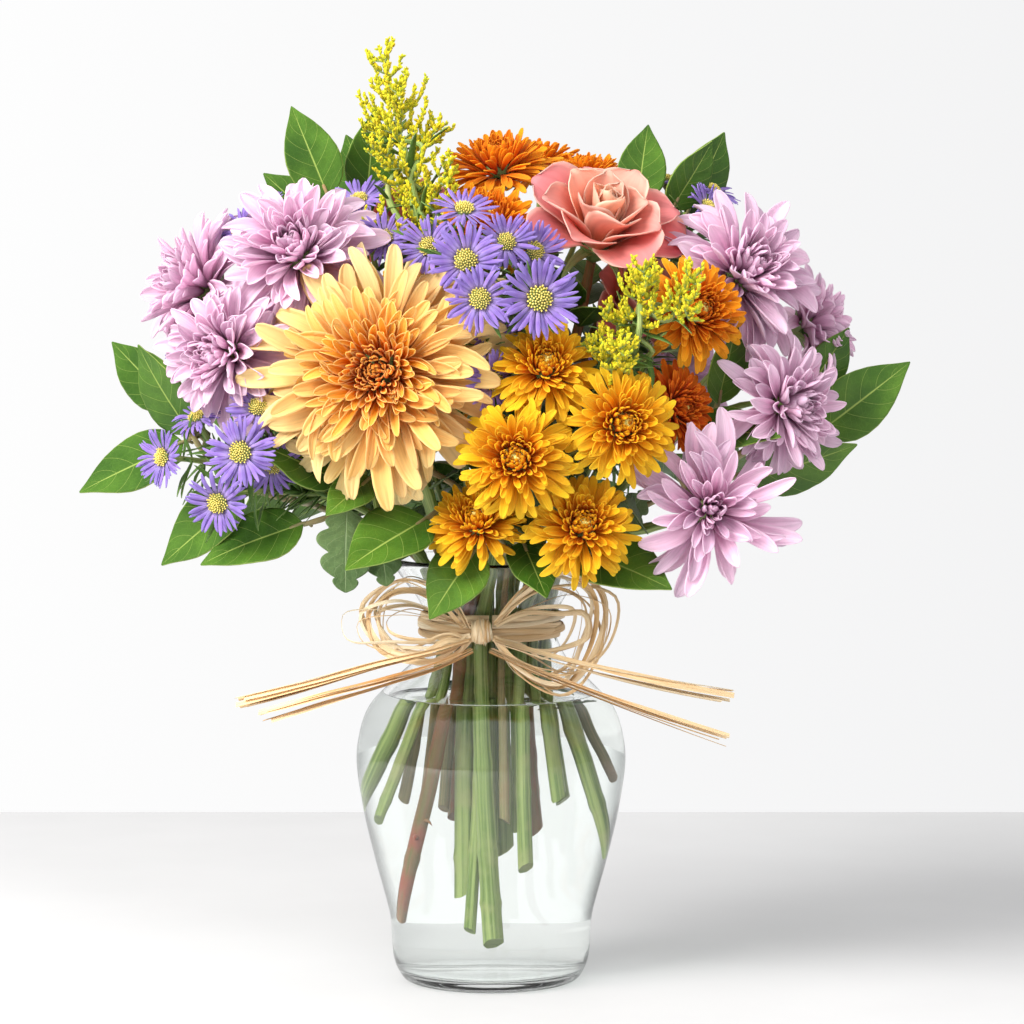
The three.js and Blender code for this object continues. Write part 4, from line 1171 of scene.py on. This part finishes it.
SPRAY_MUM = {
    "out": [0.09, 0.16, 0.21, 0.24, 0.26, 0.26], "up": [0.04, 0.02, -0.02, -0.10, -0.20, -0.30],
    "rise": [92, 84, 66, 44, 20, -2], "bend": [48, 52, 30, -2, -24, -40],
    "length": [0.17, 0.26, 0.38, 0.52, 0.68, 0.80], "width": [0.05, 0.075, 0.10, 0.125, 0.15, 0.165],
    "cup": [1.3, 1.3, 1.1, 0.8, 0.6, 0.5], "groove": 0.06, "jitter": 1.35, "disc": 0.13,
}
SPRAY_PETALS = 240
for node in bloom_nodes:
    if node.startswith("gold"):
        rng = np.random.default_rng(100 + int(node[-1]))
        mum(node, gold_petal, "petal_gold", SPRAY_PETALS, 1.19, **SPRAY_MUM)
    elif node.startswith("orange"):
        rng = np.random.default_rng(200 + int(node[-1]))
        finish = red_orange_petal if node == "orange_mum_6" else orange_petal
        mum(node, finish, "petal_orange", SPRAY_PETALS, 1.17, **SPRAY_MUM)

# ---- Lavender chrysanthemums -------------------------------------------------------------------
# Open daisy-like doubles of broad cupped petals with pointed tips, pinkish lavender and deeper mauve
# at their bases.

lavender_petal = petal_finish(
    "lavender petal",
    [(0.0, (0.70, 0.30, 0.54)), (0.6, (0.88, 0.54, 0.74)), (1.0, (0.95, 0.70, 0.86))],
    [(0.0, (0.78, 0.42, 0.64)), (0.4, (0.92, 0.64, 0.81)), (1.0, (0.97, 0.77, 0.90))],
    [(0.0, (0.80, 0.46, 0.66)), (0.35, (0.93, 0.67, 0.83)), (1.0, (0.97, 0.79, 0.91))],
    (0.98, 0.84, 0.94), glow=0.42, rim_strength=0.15,
)
LAVENDER_OUTLINE = (
    [0, 0.15, 0.4, 0.6, 0.78, 0.9, 0.97, 1], [0.36, 0.55, 0.88, 1.0, 0.95, 0.72, 0.38, 0.08],
)
LAVENDER_MUM = {
    "out": [0.03, 0.12, 0.19, 0.23, 0.25, 0.25], "up": [0.04, 0.03, -0.02, -0.11, -0.22, -0.32],
    "rise": [86, 76, 62, 42, 20, -4], "bend": [44, 30, 8, -14, -30, -38],
    "length": [0.26, 0.38, 0.52, 0.66, 0.80, 0.90], "width": [0.12, 0.18, 0.23, 0.27, 0.30, 0.32],
    "cup": [1.5, 1.5, 1.4, 1.3, 1.2, 1.1], "groove": 0.06, "jitter": 1.9, "outline": LAVENDER_OUTLINE,
}
# The lowest head is younger: fewer and longer petals, still closed at the heart.
YOUNG_MUM = {
    **LAVENDER_MUM,
    "out": [0.02, 0.08, 0.14, 0.19, 0.22, 0.24], "up": [-0.04, -0.06, -0.1, -0.16, -0.24, -0.32],
    "rise": [84, 74, 58, 40, 20, 0], "bend": [34, 26, 8, -10, -26, -30],
    "length": [0.22, 0.36, 0.52, 0.70, 0.88, 0.96], "width": [0.08, 0.13, 0.18, 0.23, 0.28, 0.31],
}
for node in bloom_nodes:
    if node.startswith("lavender"):
        rng = np.random.default_rng(300 + int(node[-1]))
        young = node == "lavender_mum_7"
        count, size, shape = (92, 1.12, YOUNG_MUM) if young else (150, 1.24, LAVENDER_MUM)
        mum(node, lavender_petal, "petal_lavender", count, size, **shape)

# ---- Roses -------------------------------------------------------------------------------------
# Half-open spray roses: broad overlapping petals in a spiral, peach and cream inside and coral pink
# outside, whose edges roll back to soft points.

rose_petal = petal_finish(
    "rose petal",
    [(0.0, (0.95, 0.46, 0.20)), (0.5, (0.98, 0.58, 0.34)), (1.0, (0.99, 0.68, 0.48))],
    [(0.0, (0.97, 0.50, 0.28)), (0.5, (0.97, 0.50, 0.36)), (1.0, (0.98, 0.58, 0.46))],
    [(0.0, (0.97, 0.54, 0.38)), (0.5, (0.94, 0.31, 0.31)), (1.0, (0.94, 0.25, 0.31))],
    (1.0, 0.78, 0.64), glow=0.42, rim_strength=0.7,
)
ROSE_OUTLINE = ([0, 0.2, 0.45, 0.7, 0.85, 0.94, 1], [0.25, 0.55, 0.88, 1.0, 0.88, 0.62, 0.22])
ROSE_ROWS = np.linspace(0, 1, 15)
ROSE_PETALS = 27
ROSE_AGES = [0, 0.3, 0.6, 1]


def rose(node):
    """A half-open rose: its petals from the heart to the rim, its hip and its five sepals."""
    middle, facing, radius, depth = blooms[node]
    radius = radius * 1.14
    age = (np.arange(ROSE_PETALS) + 0.5) / ROSE_PETALS
    rise = np.radians(np.interp(age, ROSE_AGES, [93, 84, 68, 38]))
    bend = np.radians(np.interp(age, ROSE_AGES, [6, 0, -38, -62]))
    length = radius * np.interp(age, ROSE_AGES, [0.80, 0.95, 1.05, 1.12])
    width = radius * np.interp(age, ROSE_AGES, [0.36, 0.62, 0.95, 1.12])
    cup = np.interp(age, ROSE_AGES, [1.5, 1.25, 0.85, 0.5])
    root = (0.03 * radius + 0.17 * radius * age, -0.62 * radius + 0.08 * radius * (1 - age))
    part = petals(
        age, root, rise, bend, length, width, cup, ROSE_OUTLINE, columns=13, rows=ROSE_ROWS, jitter=0.8,
        point=0.06,
    )
    thicken(make_piece(
        f"{node}_petals", [set_facing(part, middle, facing)], rose_petal, [node]
    ), 0.0004)
    hip = turned(
        [(0, -depth), (0.08 * radius, -depth), (0.2 * radius, -0.85 * depth), (0.24 * radius, -0.6 * radius),
         (0.12 * radius, -0.5 * radius), (0, -0.5 * radius)], 20, along=0.3, tint=0.4,
    )
    sepals = petals(
        np.ones(5), (0.16 * radius, -0.66 * radius), 0.1, -1.0, 0.75 * radius, 0.22 * radius, 0.4,
        ([0, 0.3, 0.7, 1], [1, 0.8, 0.4, 0.06]), columns=5, turn=np.arange(5) * math.tau / 5,
    )
    make_piece(f"{node}_hip", [set_facing(hip, middle, facing)], calyx_green, [node])
    thicken(make_piece(
        f"{node}_sepals", [set_facing(sepals, middle, facing)], calyx_green, [node]
    ), LEAF_THICKNESS)


for node in bloom_nodes:
    if node.startswith("rose"):
        rng = np.random.default_rng(400 + int(node[-1]))
        rose(node)

# ---- Asters ------------------------------------------------------------------------------------
# Sprays of small violet daisies: about forty thin rays round a raised disc of yellow-green florets.

aster_ray = petal_finish(
    "aster ray",
    [(0.0, (0.55, 0.42, 0.82)), (1.0, (0.34, 0.20, 0.66))],
    [(0.0, (0.55, 0.42, 0.82)), (1.0, (0.34, 0.20, 0.66))],
    [(0.0, (0.58, 0.46, 0.86)), (0.5, (0.37, 0.23, 0.70)), (1.0, (0.45, 0.32, 0.80))],
    (0.62, 0.50, 0.90), glow=0.35,
)
RAY = ([0, 0.2, 0.6, 0.85, 1], [0.5, 0.75, 1.0, 0.9, 0.25])
RAY_ROWS = np.array([0, 0.25, 0.5, 0.75, 0.92, 1])
for spray, found in heads.items():
    rng = np.random.default_rng(500 + len(found))
    rays, discs, backs = [], [], []
    for middle, facing, radius in found:
        radius = radius * 1.12
        count = int(rng.integers(36, 44))
        lift = rng.uniform(0.0, 0.35)
        root = (0.26 * radius, rng.uniform(-0.06, 0.02, count) * radius)
        turn = np.arange(count) * math.tau / count + rng.normal(0, 0.05, count)
        ring = petals(
            np.ones(count), root, 0.1 + lift, -0.25, 0.76 * radius, 0.125 * radius, 0.5, RAY,
            columns=3, turn=turn, rows=RAY_ROWS, jitter=1.3,
        )
        rays.append(set_facing(ring, middle, facing, rng.uniform(0, 6)))
        disc = florets(70, 0.27 * radius, 0.12 * radius, 0.026 * radius, 0.13 * radius)
        discs.append(set_facing(disc, middle, facing))
        cup = turned(
            [(0, -0.5 * radius), (0.07 * radius, -0.5 * radius), (0.18 * radius, -0.34 * radius),
             (0.29 * radius, -0.05 * radius), (0.26 * radius, 0.06 * radius), (0, 0.13 * radius)],
            16, along=0.3, tint=0.4,
        )
        backs.append(set_facing(cup, middle, facing))
    thicken(make_piece(f"{spray}_rays", rays, aster_ray, [spray]), 0.00025)
    make_piece(f"{spray}_discs", discs, disc_yellow, [spray])
    make_piece(f"{spray}_cups", backs, calyx_green, [spray])

# ---- Goldenrod ---------------------------------------------------------------------------------
# Plumes of goldenrod: curving side shoots set all along with hundreds of tiny pointed buds, green at
# the foot and yellow at the tip.

bud_yellow = bud_finish(
    "goldenrod bud", 0.65, [(0.22, 0.27, 0.02), (0.54, 0.50, 0.02), (0.84, 0.70, 0.03)],
    [(0.70, 0.85, 0.7), (1.15, 1.0, 0.9)],
)
POINTED = [(0.0, 0.4), (0.35, 1.0), (0.7, 0.85), (1.0, 0.3)]
for spray, found in plumes.items():
    rng = np.random.default_rng(600 + len(found))
    sprigs, flowers = [], []
    for foot, way, length in found:
        tip = foot + way * length
        crest = foot + way * length * 0.55 + np.array([0, 0, 0.04 * length])
        twigs = [smooth_line([foot - 0.1 * length * way, crest, tip - (0, 0, 0.04 * length)], 24)]
        side, up = carried_frames(twigs[0])
        sides = max(10, int(length / 0.0022))
        for k in range(sides):
            # Side shoots leave in a spiral, long ones low down, and curve up again at their tips.
            at = 1 + int(21 * k / sides)
            turn = k * GOLDEN_ANGLE
            away = unit(way * 0.55 + side[at] * math.cos(turn) + up[at] * math.sin(turn))
            start = twigs[0][at]
            reach = (0.30 * length + 0.009) * (1 - 0.74 * at / 24) * rng.uniform(0.75, 1.25)
            twigs.append(smooth_line(
                [start, start + 0.55 * reach * away, start + reach * unit(away + (0, 0, 0.5))], 12
            ))
        for twig in twigs:
            n = len(twig)
            taper = np.linspace(0.0005, 0.0002, n)
            sprigs.append(sweep(twig, ribbed(3, 0, 5), taper, across=0.0, tint=0.5))
            span = np.linalg.norm(np.diff(twig, axis=0), axis=1).sum()
            count = max(9, int(span / 0.00052))
            t = np.linspace(0.2, 1, count)
            feet = np.column_stack([np.interp(t, np.linspace(0, 1, n), twig[:, a]) for a in range(3)])
            along = unit(twig[-1] - twig[0])
            ways = unit(rng.normal(0, 0.55, (count, 3)) + (0, 0, 0.9) + 0.4 * along)
            tall = rng.uniform(0.0017, 0.0032, count) * (1.15 - 0.35 * t)
            flowers.append(buds(feet, ways, (0.31, 0.17, 0.9), tall, 0.29 * tall, POINTED))
    make_piece(f"{spray}_twigs", sprigs, calyx_green, [spray])
    make_piece(f"{spray}_buds", flowers, bud_yellow, [spray])

# ---- Raffia bow --------------------------------------------------------------------------------
# Strands of raffia wound round the neck and tied in front in a knot with two full loops.

rng = np.random.default_rng(77)
band_low, band_high = (np.array(corner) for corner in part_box("raffia_band"))
band_radius = (band_high[0] - band_low[0]) / 2
BAND_STRANDS, KNOT_STRANDS, LOOP_STRANDS = 11, 9, 13
TIE_WIDTH = 0.0026
band_strands = []
turns = np.linspace(-0.5 * math.pi + 0.02, 1.5 * math.pi - 0.02, 90)
for k in range(BAND_STRANDS):
    share = (k + 0.5) / BAND_STRANDS
    height = band_low[2] + (band_high[2] - band_low[2]) * (0.04 + 0.92 * share)
    lean, ripple = rng.uniform(-0.002, 0.002), rng.uniform(0, 6)
    radius = band_radius - 0.0016 + 0.0009 * (k % 3) + 0.0003 * np.sin(5 * turns + ripple)
    line = np.column_stack([
        radius * np.cos(turns), radius * np.sin(turns),
        height + lean * np.cos(turns + ripple) + 0.0004 * np.sin(4 * turns + ripple),
    ])
    upright = math.pi / 2 + rng.uniform(-0.3, 0.3)
    band_strands.append(strip(line, TIE_WIDTH, STRIP_THICKNESS, upright))
make_piece("raffia_wraps", band_strands, raffia_straw, ["raffia_band"])

half = (knot_high - knot_low) / 2
knot_strands = []
for k in range(KNOT_STRANDS):
    around = np.linspace(0, math.tau, 26)
    lean = rng.uniform(-0.5, 0.5)
    shift = half[0] * (-0.75 + 1.5 * k / (KNOT_STRANDS - 1))
    shrink = math.sqrt(max(0.15, 1 - (shift / half[0]) ** 2 * 0.8))
    line = np.column_stack([
        shift + lean * 0.003 * np.sin(around), half[1] * shrink * np.cos(around),
        half[2] * shrink * np.sin(around),
    ])
    knot_strands.append(strip(knot_at + line, TIE_WIDTH, 0.0004, rng.uniform(-0.3, 0.3)))
stuffing = ball(half[1] * 0.85, half[2] * 0.85, 0, 20, along=0.5, tint=0.1)
knot_strands.append((stuffing[0] + knot_at, *stuffing[1:]))
make_piece("raffia_tie", knot_strands, raffia_straw, ["raffia_knot"])

LOOP_ROUTES = {
    "raffia_loop_left": [
        (-0.006, -0.001, 0.002), (-0.020, -0.004, 0.009), (-0.042, -0.001, 0.013), (-0.058, 0.003, 0.006),
        (-0.054, 0.002, -0.003), (-0.034, -0.004, -0.007), (-0.015, -0.005, -0.005), (-0.006, -0.003, -0.003),
    ],
    "raffia_loop_right": [
        (0.006, -0.001, 0.003), (0.020, -0.004, 0.010), (0.038, -0.001, 0.015), (0.053, 0.003, 0.009),
        (0.052, 0.002, -0.006), (0.038, -0.002, -0.014), (0.018, -0.005, -0.009), (0.006, -0.003, -0.003),
    ],
}
for loop, route in LOOP_ROUTES.items():
    strands = []
    for k in range(LOOP_STRANDS):
        fuller = np.array([rng.uniform(0.74, 1.06), 1, rng.uniform(0.5, 1.9)])
        shifted = np.array(route) * fuller + rng.normal(0, 0.0016, (len(route), 3))
        shifted[[0, -1]] = np.array(route)[[0, -1]] + rng.normal(0, 0.0008, (2, 3))
        line = smooth_line(knot_at + shifted, 44)
        spin = rng.uniform(0, 3) + rng.uniform(-2, 2) * np.linspace(0, 1, 44)
        strands.append(strip(line, rng.uniform(0.0011, 0.0028), STRIP_THICKNESS, spin))
    make_piece(f"{loop}_strands", strands, raffia_straw, [loop])

# ---- Table, wall and light ---------------------------------------------------------------------
# A pale matt table in front of a brighter plain wall, lit by one broad soft window from the upper
# left, a weaker one from the right and the pale room.

TABLE_BACK = 0.497
floor_mesh = bpy.data.meshes.new("table_top")
floor_mesh.from_pydata(
    [(-3, -3, 0), (3, -3, 0), (3, TABLE_BACK, 0), (-3, TABLE_BACK, 0)], [], [(0, 1, 2, 3)]
)
table_finish, tree, shader = new_finish("pale table", 0.6)
mottle = add_node(tree, "TexNoise", {"Scale": 9.0, "Detail": 4.0})
tree.links.new(add_node(tree, "TexCoord").outputs["Object"], mottle.inputs["Vector"])
pale = fade(tree, mottle.outputs[0], (0.3, (0.62, 0.62, 0.625)), (0.7, (0.65, 0.65, 0.655)))
tree.links.new(pale, shader.inputs["Base Color"])
relief(tree, shader, mottle.outputs[0], 0.0002, 0.2)
floor_mesh.materials.append(table_finish)
floor = bpy.data.objects.new("table_top", floor_mesh)
bpy.context.scene.collection.objects.link(floor)

room = bpy.data.worlds.new("pale room")
room.use_nodes = True
tree = room.node_tree
# The wall is bright white where it is seen, straight or through the glass. Where it is seen straight it
# carries
# painted shade: lighter at the left, towards the window, and darker to the right. The room that lights the
# flowers is dimmer, and darker to the sides, which draws the edges of the glass.
towards = add_node(tree, "SeparateXYZ", {0: add_node(tree, "TexCoord").outputs["Generated"]})
sideways = sums(tree, "ABSOLUTE", towards.outputs["X"])
around = fade(tree, sideways, (0.6, (1.05, 1.05, 1.05)), (0.85, (0.28, 0.29, 0.29)))
ray = add_node(tree, "LightPath")
light = blended(tree, ray.outputs["Is Transmission Ray"], (0.66, 0.66, 0.66), around)
across_wall = sums(tree, "ADD", sums(tree, "MULTIPLY", towards.outputs["X"], 2.0), 0.5)
# Painted shade on the wall the camera sees: lighter at the left, towards the window, greyer to the right.
wall = fade(tree, across_wall, (0.2, (0.99, 0.99, 0.99)), (0.8, (0.90, 0.90, 0.905)))
light = blended(tree, ray.outputs["Is Camera Ray"], light, wall)
tree.links.new(light, tree.nodes["Background"].inputs["Color"])
bpy.context.scene.world = room


def window(name, at, towards, size, power, colour):
    """A broad soft light that neither the glass nor anything glossy shows."""
    light = bpy.data.lights.new(name, "AREA")
    light.shape = "RECTANGLE"
    light.size, light.size_y = size
    light.energy = power
    light.color = colour
    lamp = bpy.data.objects.new(name, light)
    lamp.location = at
    lamp.rotation_euler = (Vector(towards) - Vector(at)).to_track_quat("-Z", "Y").to_euler()
    lamp.visible_transmission = lamp.visible_glossy = False
    bpy.context.scene.collection.objects.link(lamp)


window("window", (-1.2, -1.05, 1.35), (0, 0, 0.2), (1.15, 1.15), 70, (1.0, 0.985, 0.965))
window("second_window", (0.9, -1.9, 1.6), (0, 0, 0.25), (1.4, 1.4), 18, (0.97, 0.985, 1.0))

bpy.context.scene.view_settings.view_transform = "Standard"
